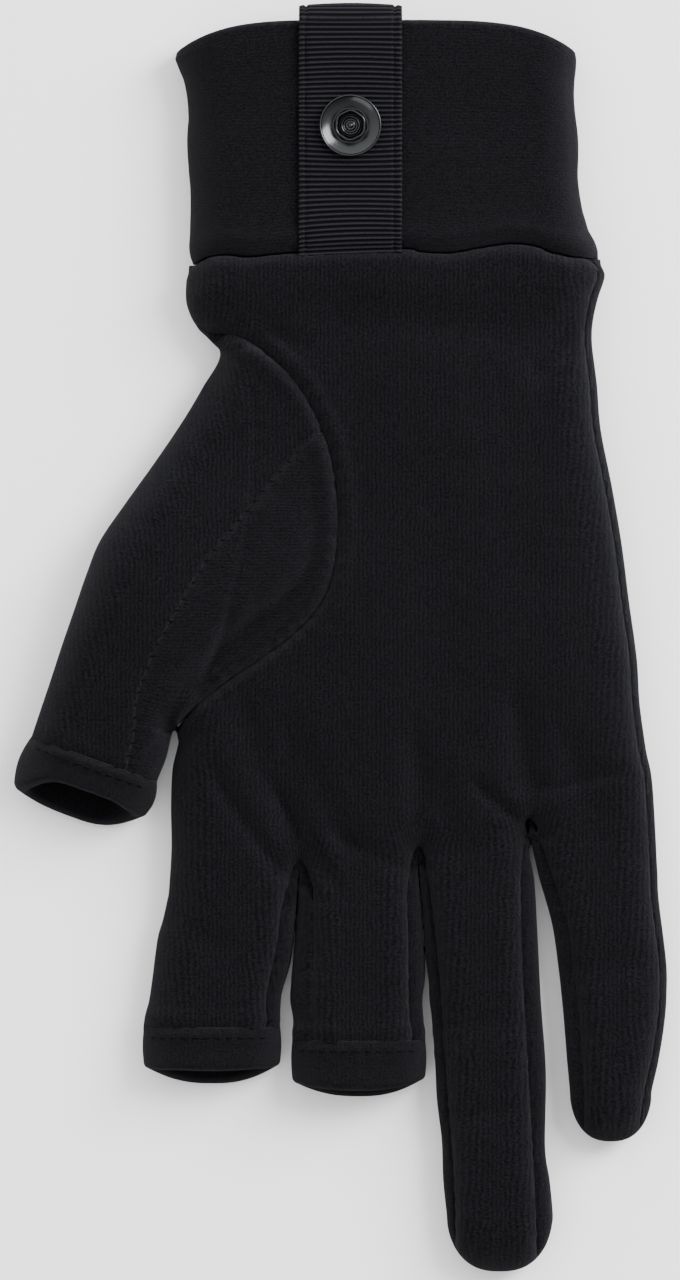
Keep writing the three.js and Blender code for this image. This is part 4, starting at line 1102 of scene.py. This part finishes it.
# The ribbon's start under the seam, its fold past the cuff's, and how far it runs down inside
RIBBON_FROM, RIBBON_START, RIBBON_START_RUN, RIBBON_SUNK = -1.0, -0.6, 3.0, 0.9
RIBBON_PAST, RIBBON_BULGE, RIBBON_BOW, RIBBON_INSIDE = 0.6, 2.0, 0.5, 11
RIBBON_TURN_STEP = 4
RIBBON_WAVE_REACH = 9
# Dips along the ribbon: depth, place up the cuff, width
RIBBON_DIPS = [(0.3, 33.5, 4.0), (0.2, 13.5, 3.5)]
RIBBON_SAG_EDGE = 0.3
RIB_BEND, RIB_BEND_TURN = 0.35, 0.21
SELVAGE, SELVAGE_RIB = 0.06, 0.35
STITCH_DEPTH, STITCH_AT, STITCH_WIDTH = 0.35, 0.86, 0.028
RIBBON_WALL = 0.8


def ribbon_path(across, xs):
    """Rows of places from the seam up the cuff, over its fold and down inside."""
    rows = []
    end = CUFF_LENGTH - RIBBON_PAST
    for y in np.arange(RIBBON_FROM, end, RIBBON_STEP):
        height = cuff_top_at(xs, np.full_like(xs, max(y, 0))) + RIBBON_LIFT
        dip = RIBBON_SUNK * (1 - smooth_step((y - RIBBON_START) / RIBBON_START_RUN))
        dip += sum(deep * hump(y, at, wide) for deep, at, wide in RIBBON_DIPS)
        sag = dip * (1 - (2 * np.abs(across)) ** 4 * RIBBON_SAG_EDGE)
        rows.append(np.column_stack([xs, y + seam_wave(xs) * hump(y, 0, RIBBON_WAVE_REACH), height - sag]))
    top_y = CUFF_LENGTH + RIBBON_PAST
    high = float(cuff_top_at(np.array([RIBBON_OFFSET]), np.array([CUFF_LENGTH]))[0]) + RIBBON_LIFT
    low = high - (2 * CLOTH + FOLD_SPACE + 2 * RIBBON_LIFT + RIBBON_PAST)
    out = RIBBON_BULGE + RIBBON_BOW * (1 - (2 * across) ** 2)
    for turn in np.radians(np.arange(RIBBON_TURN_STEP, 180, RIBBON_TURN_STEP)):
        z = (high + low) / 2 + (high - low) / 2 * math.cos(turn)
        rows.append(np.column_stack([xs, top_y + out * math.sin(turn), np.full_like(xs, z)]))
    for y in np.arange(end, CUFF_LENGTH - RIBBON_INSIDE, -RIBBON_STEP):
        rows.append(np.column_stack([xs, np.full_like(xs, y), np.full_like(xs, low)]))
    return np.array(rows)


def ribbon():
    """The grosgrain tab that is sewn in at the seam, runs up the cuff and over its fold."""
    across = np.linspace(-0.5, 0.5, RIBBON_STEPS_ACROSS)
    points = ribbon_path(across, RIBBON_OFFSET + across * RIBBON_WIDTH)
    steps = np.linalg.norm(np.diff(points[:, RIBBON_STEPS_ACROSS // 2], axis=0), axis=1)
    along = np.concatenate([[0], np.cumsum(steps)])
    normal = np.cross(np.gradient(points, axis=1), np.gradient(points, axis=0))
    normal /= np.linalg.norm(normal, axis=2)[..., None]
    edge = np.abs(2 * across)[None]
    place = along[:, None] + RIB_BEND * edge**2 * np.sin(along[:, None] * RIB_BEND_TURN)
    ribs = RIB_HEIGHT * np.abs(np.sin(place * math.pi / RIB_PITCH)) ** RIB_SHARPNESS
    ribs = ribs * (SELVAGE_RIB + (1 - SELVAGE_RIB) * smooth_step((1 - edge) / SELVAGE))
    points = points + normal * (ribs - STITCH_DEPTH * hump(edge, STITCH_AT, STITCH_WIDTH))[..., None]
    uv = np.stack([np.broadcast_to(across[None] * RIBBON_WIDTH, place.shape), place], axis=2)
    faces = grid_faces(*place.shape, False)
    obj = mesh_object("tab_ribbon", points.reshape(-1, 3), faces, uv.reshape(-1, 2))
    thicken(obj, RIBBON_THICKNESS * RIBBON_WALL)
    return obj


# Sections of the snap: radius, height
FLANGE_PROFILE = [
    (3.35, 0.18), (3.6, 0.20), (4.2, 0.34), (4.8, 0.52), (5.35, 0.74), (5.7, 0.92), (5.88, 1.06), (6.0, 1.1),
    (6.12, 1.04), (6.18, 0.85), (6.1, 0.4), (5.8, 0.1), (5.0, 0.02), (3.6, 0.0), (3.35, 0.1),
]
COLLAR_PROFILE = [
    (1.15, 0.55), (1.4, 0.6), (1.55, 1.0), (1.7, 1.15), (1.85, 1.1), (1.98, 0.6), (2.2, 0.5), (2.42, 0.9),
    (2.6, 1.75), (2.76, 2.1), (2.95, 2.2), (3.12, 2.05), (3.25, 1.6), (3.3, 1.0), (3.26, 0.2), (2.2, 0.05),
    (1.2, 0.05), (1.1, 0.3),
]
RIVET_PROFILE = [
    (0.01, 1.32), (0.3, 1.28), (0.52, 1.12), (0.62, 1.0), (0.85, 1.02), (0.98, 0.9), (1.0, 0.6),
    (0.95, 0.2), (0.92, -1.2), (0.95, -3.4),
]
PROFILE_STEP = 0.05
COLLAR_LOBES, LOBE_DEPTH, LOBE_FROM, LOBE_RUN, LOBE_TURN = 6, 0.03, 2.0, 0.5, 0.4
# Heights between the cuff, the ribbon and the snap
SNAP_GAP = 0.3


def lathe(name, profile, sides, lobes=0):
    """A turned piece of the snap, with shallow lobes round its rim where asked for."""
    angle = np.linspace(0, 2 * math.pi, sides, endpoint=False)
    line = spline(profile, PROFILE_STEP)
    place = CUFF_LENGTH - SNAP_DROP
    base = float(cuff_top_at(np.array([RIBBON_OFFSET]), np.array([place]))[0])
    base += RIBBON_THICKNESS + 2 * SNAP_GAP
    rings = []
    for radius, height in line:
        pinch = LOBE_DEPTH * smooth_step((radius - LOBE_FROM) / LOBE_RUN)
        pinch = pinch * (1 + np.cos(lobes * angle + LOBE_TURN))
        r = radius * (1 - pinch * (lobes > 0))
        rings.append(np.column_stack([r * np.cos(angle), r * np.sin(angle), np.full(sides, height)]))
    points = np.vstack(rings) + np.array([RIBBON_OFFSET, place, base])
    return mesh_object(name, points, grid_faces(len(line), sides, True))


THREAD_SIDES = 8
THREAD_RINGS = 7
STITCH_AHEAD = 0.4
STITCH_SWAY, STITCH_SWAY_TURN = 0.08, 2.7
STITCH_SINK = 0.32
STITCH_TAPER, STITCH_LEAST = 2.5, 0.02


def stitches(name, places, ups, length=1.7, radius=0.2, gap=2.3, lean=0.0):
    """A row of thread stitches along a line of places in space."""
    run = np.linalg.norm(np.diff(places, axis=0), axis=1)
    along = np.concatenate([[0], np.cumsum(run)])
    turns = np.linspace(0, 2 * math.pi, THREAD_SIDES, endpoint=False)
    shares = np.linspace(-1, 1, THREAD_RINGS)
    faces_of_one = grid_faces(THREAD_RINGS, THREAD_SIDES, True)

    def at(s, values):
        return np.array([np.interp(s, along, values[:, i]) for i in range(3)])

    points, faces = [], []
    for number, s in enumerate(np.arange(gap / 2, along[-1] - gap / 2, gap)):
        place = at(s, places)
        forward = at(s + STITCH_AHEAD, places) - place
        forward /= np.linalg.norm(forward)
        up = at(s, ups)
        up -= up.dot(forward) * forward
        up /= np.linalg.norm(up)
        tilt = lean + STITCH_SWAY * math.sin(number * STITCH_SWAY_TURN)
        direction = forward * math.cos(tilt) + np.cross(forward, up) * math.sin(tilt)
        across = np.cross(direction, up)
        faces += [[len(points) + i for i in face] for face in faces_of_one]
        for share in shares:
            fat = radius * math.sqrt(max(1 - abs(share) ** STITCH_TAPER, STITCH_LEAST))
            middle = place + direction * share * length / 2 - up * STITCH_SINK * share**4
            points += [middle + fat * (across * math.cos(turn) + up * math.sin(turn)) for turn in turns]
    return mesh_object(name, np.array(points), faces)


# Regions of the panels
BEYOND = 60.0
PAST_STRIP = 30.0
CUFF_SEAM_AT = -0.15
INDEX_END = finger_edge("index", FINGER_END["index"], "left")[1]
MIDDLE_END = finger_edge("middle", FINGER_END["middle"], "left")[1]
THUMB_END = THUMB_ROWS[-1][0]


# Places well past the thumb, in shares of its length and width, that close its outlines: up, side
PAST_THUMB = [(-0.9, 2.6), (1.05, 2.6), (1.0, 1.3)]
# Places past the thumb's crotch in mm: towards the fingers, along the thumb
PAST_CROTCH = [(0.4, 2), (2.4, 40)]
FAR_DOWN, FAR_UP, FAR_LEFT = -0.9, 1.2, 3.0
SEAM_SHIFT = 0.1


def thumb_polygon(table):
    """The part of the plan on the thumb's side of a seam round its root, past the thumb's end."""
    crotch = [THUMB_CROTCH - THUMB_SIDE * aside + THUMB_AXIS * ahead for aside, ahead in PAST_CROTCH]
    return np.vstack([thumb_line(table), crotch, [thumb_place(up, side) for up, side in PAST_THUMB]])


def left_of(table):
    """The part of the plan to the left of a seam that runs down the thumb."""
    first, last = table[0][1] - SEAM_SHIFT, table[-1][1]
    corners = [(FAR_DOWN, last), (FAR_DOWN, FAR_LEFT), (FAR_UP, FAR_LEFT), (FAR_UP, first)]
    return np.vstack([thumb_line(table), [thumb_place(up, side) for up, side in corners]])


def strip_polygon(name):
    line = fourchette_line(name)
    below = np.array([0, -PAST_STRIP])
    return np.vstack([line, [line[-1] + below], [line[0] + below]])


def end_boxes():
    """Where the panels stop: above the cuff's seam and past the hems."""
    slit = (finger_edge("index", 1, "right")[0] + finger_edge("middle", 1, "left")[0]) / 2
    beside = (finger_edge("middle", 1, "right")[0] + finger_edge("ring", 0.5, "left")[0]) / 2
    a, b = thumb_place(THUMB_END, -0.06), thumb_place(THUMB_END, 2.0)
    thumb_box = np.array([a, b, b + THUMB_AXIS * BEYOND, a + THUMB_AXIS * BEYOND])
    return [
        box_between(-BEYOND * 2, BEYOND * 2, CUFF_SEAM_AT, BEYOND),
        box_between(-BEYOND, slit, INDEX_END - BEYOND, INDEX_END),
        box_between(slit, beside, MIDDLE_END - BEYOND, MIDDLE_END),
        thumb_box,
    ]


# Places past the side seam in mm, from its end, its start and the little finger's tip
ULNAR_END, ULNAR_START, ULNAR_TIP = np.array([14, -6]), np.array([40, 0]), np.array([0.0, -3.0])


def ulnar_polygon():
    """The part of the plan beyond the side seam."""
    line = side_seam_line()
    tip = tip_points("little")[3] + ULNAR_TIP
    return np.vstack([line, [tip], [line[-1] + ULNAR_END, line[0] + ULNAR_START]])


def level_line(x0, x1, y, count):
    return np.column_stack([np.linspace(x0, x1, count), np.full(count, y)])


ENDS = end_boxes()
STRIPS = {name: strip_polygon(name) for name in FOURCHETTES}
GUSSET = thumb_polygon(GUSSET_SEAM)
BACK_THUMB = thumb_polygon(THUMB_BACK_SEAM)
ULNAR = ulnar_polygon()
LEFT_OF_TOP = left_of(THUMB_TOP_SEAM)
LEFT_OF_UNDER = left_of([(1.2, -2.0), (0.3, -1.2), *THUMB_UNDER_SEAM])
GUSSET_LINE = thumb_line(GUSSET_SEAM)
TOP_LINE = thumb_line(THUMB_TOP_SEAM)
UNDER_LINE = thumb_line(THUMB_UNDER_SEAM)
BACK_LINE = thumb_line(THUMB_BACK_SEAM)
STRIP_LINES = {name: fourchette_line(name) for name in FOURCHETTES}
SIDE_LINE = side_seam_line()
CUFF_LINE = level_line(-45, 60, CUFF_SEAM_AT, 220)
INDEX_LINE = level_line(-41, -10, INDEX_END, 60)
MIDDLE_LINE = level_line(-10, 19, MIDDLE_END, 60)
THUMB_END_LINE = np.array([thumb_place(THUMB_END, side) for side in np.linspace(-0.1, 1.05, 50)])


def hand_panels():
    strips = list(STRIPS.values())
    strip_seams = [(line, 0.8) for line in STRIP_LINES.values()]
    hems = [(INDEX_LINE, 0.75), (MIDDLE_LINE, 0.75)]
    side, cuff, gusset = (SIDE_LINE, 0.45), (CUFF_LINE, 1.0), (GUSSET_LINE, 1.5)
    thumb_seams = [gusset, (TOP_LINE, 0.5), (BACK_LINE, 0.6), (UNDER_LINE, 0.5), (THUMB_END_LINE, 0.7)]
    pieces = {
        "palm_panel": panel("palm_panel", [
            (Region([HAND_LOOP], [GUSSET, ULNAR, *strips, *ENDS]), True),
        ], [gusset, side, *strip_seams, cuff, *hems]),
        "back_panel": panel("back_panel", [
            (Region([HAND_LOOP, ULNAR], [ENDS[0]]), True),
            (Region([HAND_LOOP], [BACK_THUMB, *strips, *ENDS]), False),
        ], [(BACK_LINE, 0.6), side, *strip_seams, cuff, *hems]),
        "thumb_front_panel": panel("thumb_front_panel", [
            (Region([HAND_LOOP, GUSSET, LEFT_OF_TOP], ENDS), True),
            (Region([HAND_LOOP, BACK_THUMB, LEFT_OF_UNDER], ENDS), False),
        ], [*thumb_seams, cuff]),
        "thumb_gusset": panel("thumb_gusset", [
            (Region([HAND_LOOP, GUSSET], [LEFT_OF_TOP, *ENDS]), True),
            (Region([HAND_LOOP, BACK_THUMB], [LEFT_OF_UNDER, *ENDS]), False),
        ], thumb_seams),
    }
    for name in FOURCHETTES:
        region = Region([HAND_LOOP, STRIPS[name]], ENDS)
        pieces[name] = panel(name, [(region, True), (region, False)], [(STRIP_LINES[name], 0.8), *hems])
    return pieces


# Materials
class Graph:
    """The nodes of a material or of the sky, and the links between them."""

    def __init__(self, tree):
        self.nodes, self.links = tree.nodes, tree.links

    def value(self, operation, first, second=None):
        node = self.nodes.new("ShaderNodeMath")
        node.operation = operation
        for socket, value in zip(node.inputs, (first, second)):
            if isinstance(value, (int, float)):
                socket.default_value = value
            elif value is not None:
                self.links.new(value, socket)
        return node.outputs[0]

    def line(self, value, slope, start):
        """A value times a slope, plus a start."""
        return self.value("ADD", self.value("MULTIPLY", value, slope), start)

    def noise(self, vector, scale, detail, rough=0.5, distortion=0.0):
        node = self.nodes.new("ShaderNodeTexNoise")
        set_inputs(node, {"Scale": scale, "Detail": detail, "Roughness": rough, "Distortion": distortion})
        self.links.new(vector, node.inputs["Vector"])
        return node.outputs["Fac"]

    def cloth_place(self):
        """The place on the cloth, whole and split in two."""
        uv = self.nodes.new("ShaderNodeUVMap")
        uv.uv_map = "cloth"
        split = self.nodes.new("ShaderNodeSeparateXYZ")
        self.links.new(uv.outputs[0], split.inputs[0])
        return uv.outputs[0], split.outputs

    def bump(self, shader, height, strength, distance):
        node = self.nodes.new("ShaderNodeBump")
        set_inputs(node, {"Strength": strength, "Distance": distance})
        self.links.new(height, node.inputs["Height"])
        self.links.new(node.outputs[0], shader.inputs["Normal"])

    def tint(self, shader, factor, dark, light):
        node = self.nodes.new("ShaderNodeMix")
        node.data_type = "RGBA"
        set_inputs(node, {"A": (*dark, 1), "B": (*light, 1)})
        self.links.new(factor, node.inputs["Factor"])
        self.links.new(node.outputs["Result"], shader.inputs["Base Color"])


def set_inputs(node, values):
    for name, value in values.items():
        node.inputs[name].default_value = value


def new_material(name, values):
    """A material with its shader's inputs set, its shader and its graph."""
    material = bpy.data.materials.new(name)
    material.use_nodes = True
    shader = material.node_tree.nodes["Principled BSDF"]
    set_inputs(shader, values)
    return material, shader, Graph(material.node_tree)


# Noises of the fleece: scale, detail, roughness, distortion
WANDER = (0.30, 4.0, 0.62)
BROKEN = (0.9, 3.0, 0.6)
PILE = (2.3, 4.0, 0.85, 0.4)
FUZZ = (0.5, 4.0, 0.6)
WANDER_BEND = 9.0
PILE_HEIGHT, FUZZ_HEIGHT = 3.2, 0.35
# Strength and distance of the relief, slope and start of the shade, shares of the colour at its ends
FLEECE_BUMP = (1.0, 0.00018)
SHADE_LINE = (1.7, -2.6)
DARK_SHARE, LIGHT_SHARE = 0.1, 2.1
FLEECE_SHADER = {
    "Roughness": 0.93, "Specular IOR Level": 0.055,
    "Sheen Roughness": 0.42, "Sheen Tint": (0.86, 0.88, 1.0, 1),
}
# The ribbon: stretch of its fibres, their noise, relief, sharpness of the painted highlight on a rib and its
# unevenness
FIBRE_STRETCH = (5.0, 1.4, 1.0)
FIBRE = (1.0, 4.0, 0.6)
RIBBON_BUMP = (0.6, 0.00006)
CREST_HIGHLIGHT_POWER = 3.4
UNEVEN_LINE = (2.2, -0.25)
# Colours of painted shade in the grooves between the ribs and of painted highlight on the rib crests
RIBBON_GROOVE_SHADE, RIBBON_CREST_HIGHLIGHT = (0.0004, 0.0004, 0.0006), (0.0135, 0.0125, 0.0170)
RIBBON_SHADER = {"Roughness": 0.55, "Specular IOR Level": 0.05}
THREAD_SHADER = {"Base Color": (0.0024, 0.0023, 0.0028, 1), "Roughness": 0.7, "Specular IOR Level": 0.05}
METAL_SHADER = {"Base Color": (0.036, 0.038, 0.039, 1), "Metallic": 1.0}
METAL_WEAR = (900.0, 4.0)
METAL_ROUGH_LINE = (0.12, 0.14)


def fleece(name, colour=(0.0031, 0.0029, 0.0040), wale=0.86, turned=False, sheen=0.036, knit=0.3):
    """Brushed knit: broken wales, soft pile and a little sheen."""
    material, shader, graph = new_material(name, {**FLEECE_SHADER, "Sheen Weight": sheen})
    place, split = graph.cloth_place()
    bend = graph.value("MULTIPLY", graph.noise(place, *WANDER), WANDER_BEND)
    phase = graph.line(split["Y" if turned else "X"], 2 * math.pi / wale, bend)
    wales = graph.value("MULTIPLY", graph.value("SINE", phase), graph.noise(place, *BROKEN))
    wales = graph.value("MULTIPLY", wales, knit)
    height = graph.line(graph.noise(place, *PILE), PILE_HEIGHT, wales)
    fuzz = graph.value("MULTIPLY", graph.noise(place, *FUZZ), FUZZ_HEIGHT)
    height = graph.value("ADD", height, fuzz)
    graph.bump(shader, height, *FLEECE_BUMP)
    dark, light = ([part * share for part in colour] for share in (DARK_SHARE, LIGHT_SHARE))
    graph.tint(shader, graph.line(height, *SHADE_LINE), dark, light)
    return material


def grosgrain(name):
    """Ribbed ribbon: painted highlight on the ribs, painted shade between them, with a fine weave along each
    rib.
    """
    material, shader, graph = new_material(name, RIBBON_SHADER)
    place, split = graph.cloth_place()
    stretch = graph.nodes.new("ShaderNodeMapping")
    set_inputs(stretch, {"Scale": FIBRE_STRETCH})
    graph.links.new(place, stretch.inputs["Vector"])
    fibre = graph.noise(stretch.outputs[0], *FIBRE)
    graph.bump(shader, fibre, *RIBBON_BUMP)
    # Painted light in the colour: lighter on each rib's crest, darker in the grooves between the ribs, made
    # uneven by the fibre noise
    phase = graph.value("MULTIPLY", split["Y"], math.pi / RIB_PITCH)
    painted_crest_light = graph.value("ABSOLUTE", graph.value("SINE", phase))
    painted_crest_light = graph.value("POWER", painted_crest_light, CREST_HIGHLIGHT_POWER)
    painted_crest_light = graph.value("MULTIPLY", painted_crest_light, graph.line(fibre, *UNEVEN_LINE))
    graph.tint(shader, painted_crest_light, RIBBON_GROOVE_SHADE, RIBBON_CREST_HIGHLIGHT)
    return material


def gunmetal(name):
    """Dark polished metal with a little wear."""
    material, shader, graph = new_material(name, METAL_SHADER)
    place = graph.nodes.new("ShaderNodeTexCoord").outputs["Object"]
    rough = graph.line(graph.noise(place, *METAL_WEAR), *METAL_ROUGH_LINE)
    graph.links.new(rough, shader.inputs["Roughness"])
    return material


# Draping of threads on the cloth: height the rays start from, and how far the normals turn upwards
RAY_FROM = 80.0
UPWARD = Vector((0, 0, 0.6))
DOWN = Vector((0, 0, -1))


def tree_of(objs):
    """A search tree over the faces of some pieces."""
    points, faces = [], []
    for obj in objs:
        start = len(points)
        points += [v.co.copy() for v in obj.data.vertices]
        faces += [[start + i for i in face.vertices] for face in obj.data.polygons]
    return BVHTree.FromPolygons(points, faces)


def draped(line, tree, lift):
    """The places above a line of the plan on top of the cloth, and the cloth's directions there."""
    places, ups = [], []
    for x, y in line:
        hit, normal, _, _ = tree.ray_cast(Vector((x, y, RAY_FROM)), DOWN)
        if hit is None:
            continue
        if normal.z < 0:
            normal = -normal
        soft = (normal + UPWARD).normalized()
        places.append(np.array(hit) + np.array(soft) * lift)
        ups.append(np.array(soft))
    return np.array(places), np.array(ups)


pieces = hand_panels()
pieces["cuff"] = band("cuff", cuff_row, CUFF_LENGTH, BAND_TOP_STEPS, cuff_shape)
pieces["index_hem"] = finger_hem("index")
pieces["middle_hem"] = finger_hem("middle")
pieces["thumb_hem"] = thumb_hem()
pieces["tab_ribbon"] = ribbon()
tree = tree_of(pieces.values())
pieces["snap_flange"] = lathe("snap_flange", FLANGE_PROFILE, 128)
pieces["snap_collar"] = lathe("snap_collar", COLLAR_PROFILE, 144, COLLAR_LOBES)
pieces["snap_rivet"] = lathe("snap_rivet", RIVET_PROFILE, 72)
threads = {}
THREAD_LIFT = 0.12
RIBBON_SEAM_FROM = 0.6
LINE_STEP = 0.3


def sew(name, line, **look):
    places, ups = draped(line, tree, THREAD_LIFT)
    threads[name] = stitches(name, places, ups, **look)


# Seams across the finger hems: share of the finger's length where its width is taken, height of its end
HEM_SEAMS = {"index": (0.75, INDEX_END), "middle": (0.78, MIDDLE_END)}
HEM_SEAM_IN, HEM_SEAM_DOWN = 1.2, 1.5
THUMB_SEAM_UP = THUMB_END - 0.018
THUMB_SEAM_SIDES = (0.92, 0.7, 0.45, 0.2, 0.06)

for name, (share, end) in HEM_SEAMS.items():
    start = finger_edge(name, share, "left")[0] + HEM_SEAM_IN
    xs = np.arange(start, finger_edge(name, share, "right")[0] - HEM_SEAM_IN, LINE_STEP)
    sew(name + "_hem_stitches", np.column_stack([xs, np.full_like(xs, end - HEM_SEAM_DOWN)]))
thumb_seam = [thumb_place(THUMB_SEAM_UP, side) for side in THUMB_SEAM_SIDES]
sew("thumb_hem_stitches", spline(thumb_seam, LINE_STEP))
sew("thumb_seam_stitches", TOP_LINE[12:-4], lean=0.9, length=1.5, gap=2.6)

for name, side in (("ribbon_stitches_left", -1), ("ribbon_stitches_right", 1)):
    ys = np.arange(RIBBON_SEAM_FROM, CUFF_LENGTH, LINE_STEP)
    xs = np.full_like(ys, RIBBON_OFFSET + side * STITCH_AT / 2 * RIBBON_WIDTH)
    sew(name, np.column_stack([xs, ys]), length=0.8, radius=0.12, gap=1.25)

looks = {
    "palm_panel": fleece("palm fleece"),
    "back_panel": fleece("back fleece", colour=(0.0034, 0.0033, 0.0041), sheen=0.04),
    "thumb_front_panel": fleece("thumb fleece"),
    "thumb_gusset": fleece("gusset fleece", wale=0.66, turned=True, knit=0.25),
    "fourchette": fleece("strip fleece", knit=0.15),
    "cuff": fleece("cuff fleece", wale=0.66, turned=True, knit=0.15),
    "hem": fleece("hem fleece", knit=0.12),
}
ribbon_look = grosgrain("black grosgrain")
metal_look = gunmetal("dark gunmetal")
thread_look = new_material("black thread", THREAD_SHADER)[0]

# From the drawing's origin to the frame's, in mm
FROM_DRAWING = (-0.4425, 76.1517, 0)


def settle(obj, look):
    """Moves a piece from the drawing's millimetres to its place in the frame and gives it its look."""
    obj.data.transform(Matrix.Scale(MM, 4) @ Matrix.Translation(FROM_DRAWING))
    for modifier in obj.modifiers:
        modifier.thickness *= MM
    obj.data.materials.append(look)
    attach(obj, "root")


# Flat sizes of the cloth in metres before sewing: width, length, area of the cut, how it is held, on what
SHEETS = {
    "palm_panel": (0.108, 0.210, 0.01333, "laid", ["back_panel_cloth"]),
    "back_panel": (0.112, 0.212, 0.01502, "laid", ["floor"]),
    "thumb_front_panel": (0.075, 0.098, 0.00456, "laid", ["floor"]),
    "thumb_gusset": (0.034, 0.075, 0.00140, "laid", ["back_panel_cloth"]),
    "fourchette_index_middle": (0.012, 0.096, 0.00085, "laid", ["floor"]),
    "fourchette_middle_ring": (0.0115, 0.115, 0.00106, "laid", ["floor"]),
    "fourchette_ring_little": (0.0125, 0.155, 0.00167, "laid", ["floor"]),
    "cuff": (0.172, 0.098, 0.01530, "folded", ["floor"]),
    "index_hem": (0.064, 0.020, 0.00106, "folded", ["floor"]),
    "middle_hem": (0.063, 0.020, 0.00104, "folded", ["floor"]),
    "thumb_hem": (0.068, 0.026, 0.00119, "folded", ["floor"]),
    "tab_ribbon": (0.0206, 0.0835, None, "folded", ["cuff_cloth"]),
}

for name, obj in pieces.items():
    obj.name = name + ("_metal" if name.startswith("snap") else "_cloth")

for name, obj in pieces.items():
    if name.startswith("snap"):
        look, slot = metal_look, "gunmetal"
    elif name == "tab_ribbon":
        look, slot = ribbon_look, "ribbon"
    else:
        key = "fourchette" if name.startswith("fourchette") else "hem" if name.endswith("hem") else name
        look, slot = looks[key], "fleece"
    settle(obj, look)
    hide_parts(name)
    if name in SHEETS:
        width, length, area, held, below = SHEETS[name]
        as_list(below)
for name, obj in threads.items():
    settle(obj, thread_look)


# Floor, light and camera
FLOOR = 3.0
FLOOR_SHADER = {"Base Color": (0.9, 0.9, 0.9, 1), "Roughness": 0.9, "Specular IOR Level": 0.1}
FLOOR_SIGNS = ((-1, -1), (1, -1), (1, 1), (-1, 1))
floor_mesh = bpy.data.meshes.new("floor")
floor_mesh.from_pydata([(FLOOR * x, FLOOR * y, 0) for x, y in FLOOR_SIGNS], [], [(0, 1, 2, 3)])
floor = bpy.data.objects.new("floor", floor_mesh)
bpy.context.scene.collection.objects.link(floor)
floor_look = new_material("pale floor", FLOOR_SHADER)[0]
floor.data.materials.append(floor_look)

# The sky grows brighter towards the cuff: direction of the rise, what is added, brightness
SKY_COLOUR = (1.0, 1.0, 1.0, 1)
SKY_TOWARD = (-0.2, 0.95, 0.0)
SKY_BASE, SKY_BRIGHTNESS = 1.0, 1.62
world = bpy.context.scene.world or bpy.data.worlds.new("studio")
bpy.context.scene.world = world
world.use_nodes = True
sky = world.node_tree.nodes["Background"]
sky.inputs[0].default_value = SKY_COLOUR
graph = Graph(world.node_tree)
aim = graph.nodes.new("ShaderNodeTexCoord")
toward = graph.nodes.new("ShaderNodeVectorMath")
toward.operation = "DOT_PRODUCT"
toward.inputs[1].default_value = SKY_TOWARD
graph.links.new(aim.outputs["Generated"], toward.inputs[0])
bright = graph.value("ADD", toward.outputs["Value"], SKY_BASE)
graph.links.new(graph.value("MULTIPLY", bright, SKY_BRIGHTNESS), sky.inputs[1])


def area_light(name, place, size, power):
    """A rectangular light that faces the glove's middle."""
    data = bpy.data.lights.new(name, "AREA")
    data.shape = "RECTANGLE"
    data.size, data.size_y = size
    data.energy = power
    lamp = bpy.data.objects.new(name, data)
    lamp.location = place
    lamp.rotation_euler = (-Vector(place)).to_track_quat("-Z", "Y").to_euler()
    bpy.context.scene.collection.objects.link(lamp)


# Lights: name, place in metres, size in metres, power in watts
LIGHTS = [
    ("key", (0.8, 0.5, 0.75), (0.5, 0.9), 32.0),
    ("fill", (-0.5, -0.8, 0.9), (0.9, 0.5), 4.0),
]
for light in LIGHTS:
    area_light(*light)

CAMERA_DISTANCE = 3.0
VIEW_HEIGHT = 0.256
VIEW_CENTRE = (0.00016, -0.00025)
LEVEL = 0.006
SENSOR = 36.0
camera_data = bpy.data.cameras.new("camera")
camera_data.sensor_width = SENSOR
camera_data.lens = SENSOR * (CAMERA_DISTANCE - LEVEL) / VIEW_HEIGHT
camera = bpy.data.objects.new("camera", camera_data)
camera.location = (VIEW_CENTRE[0], VIEW_CENTRE[1], CAMERA_DISTANCE)
bpy.context.scene.collection.objects.link(camera)
bpy.context.scene.camera = camera
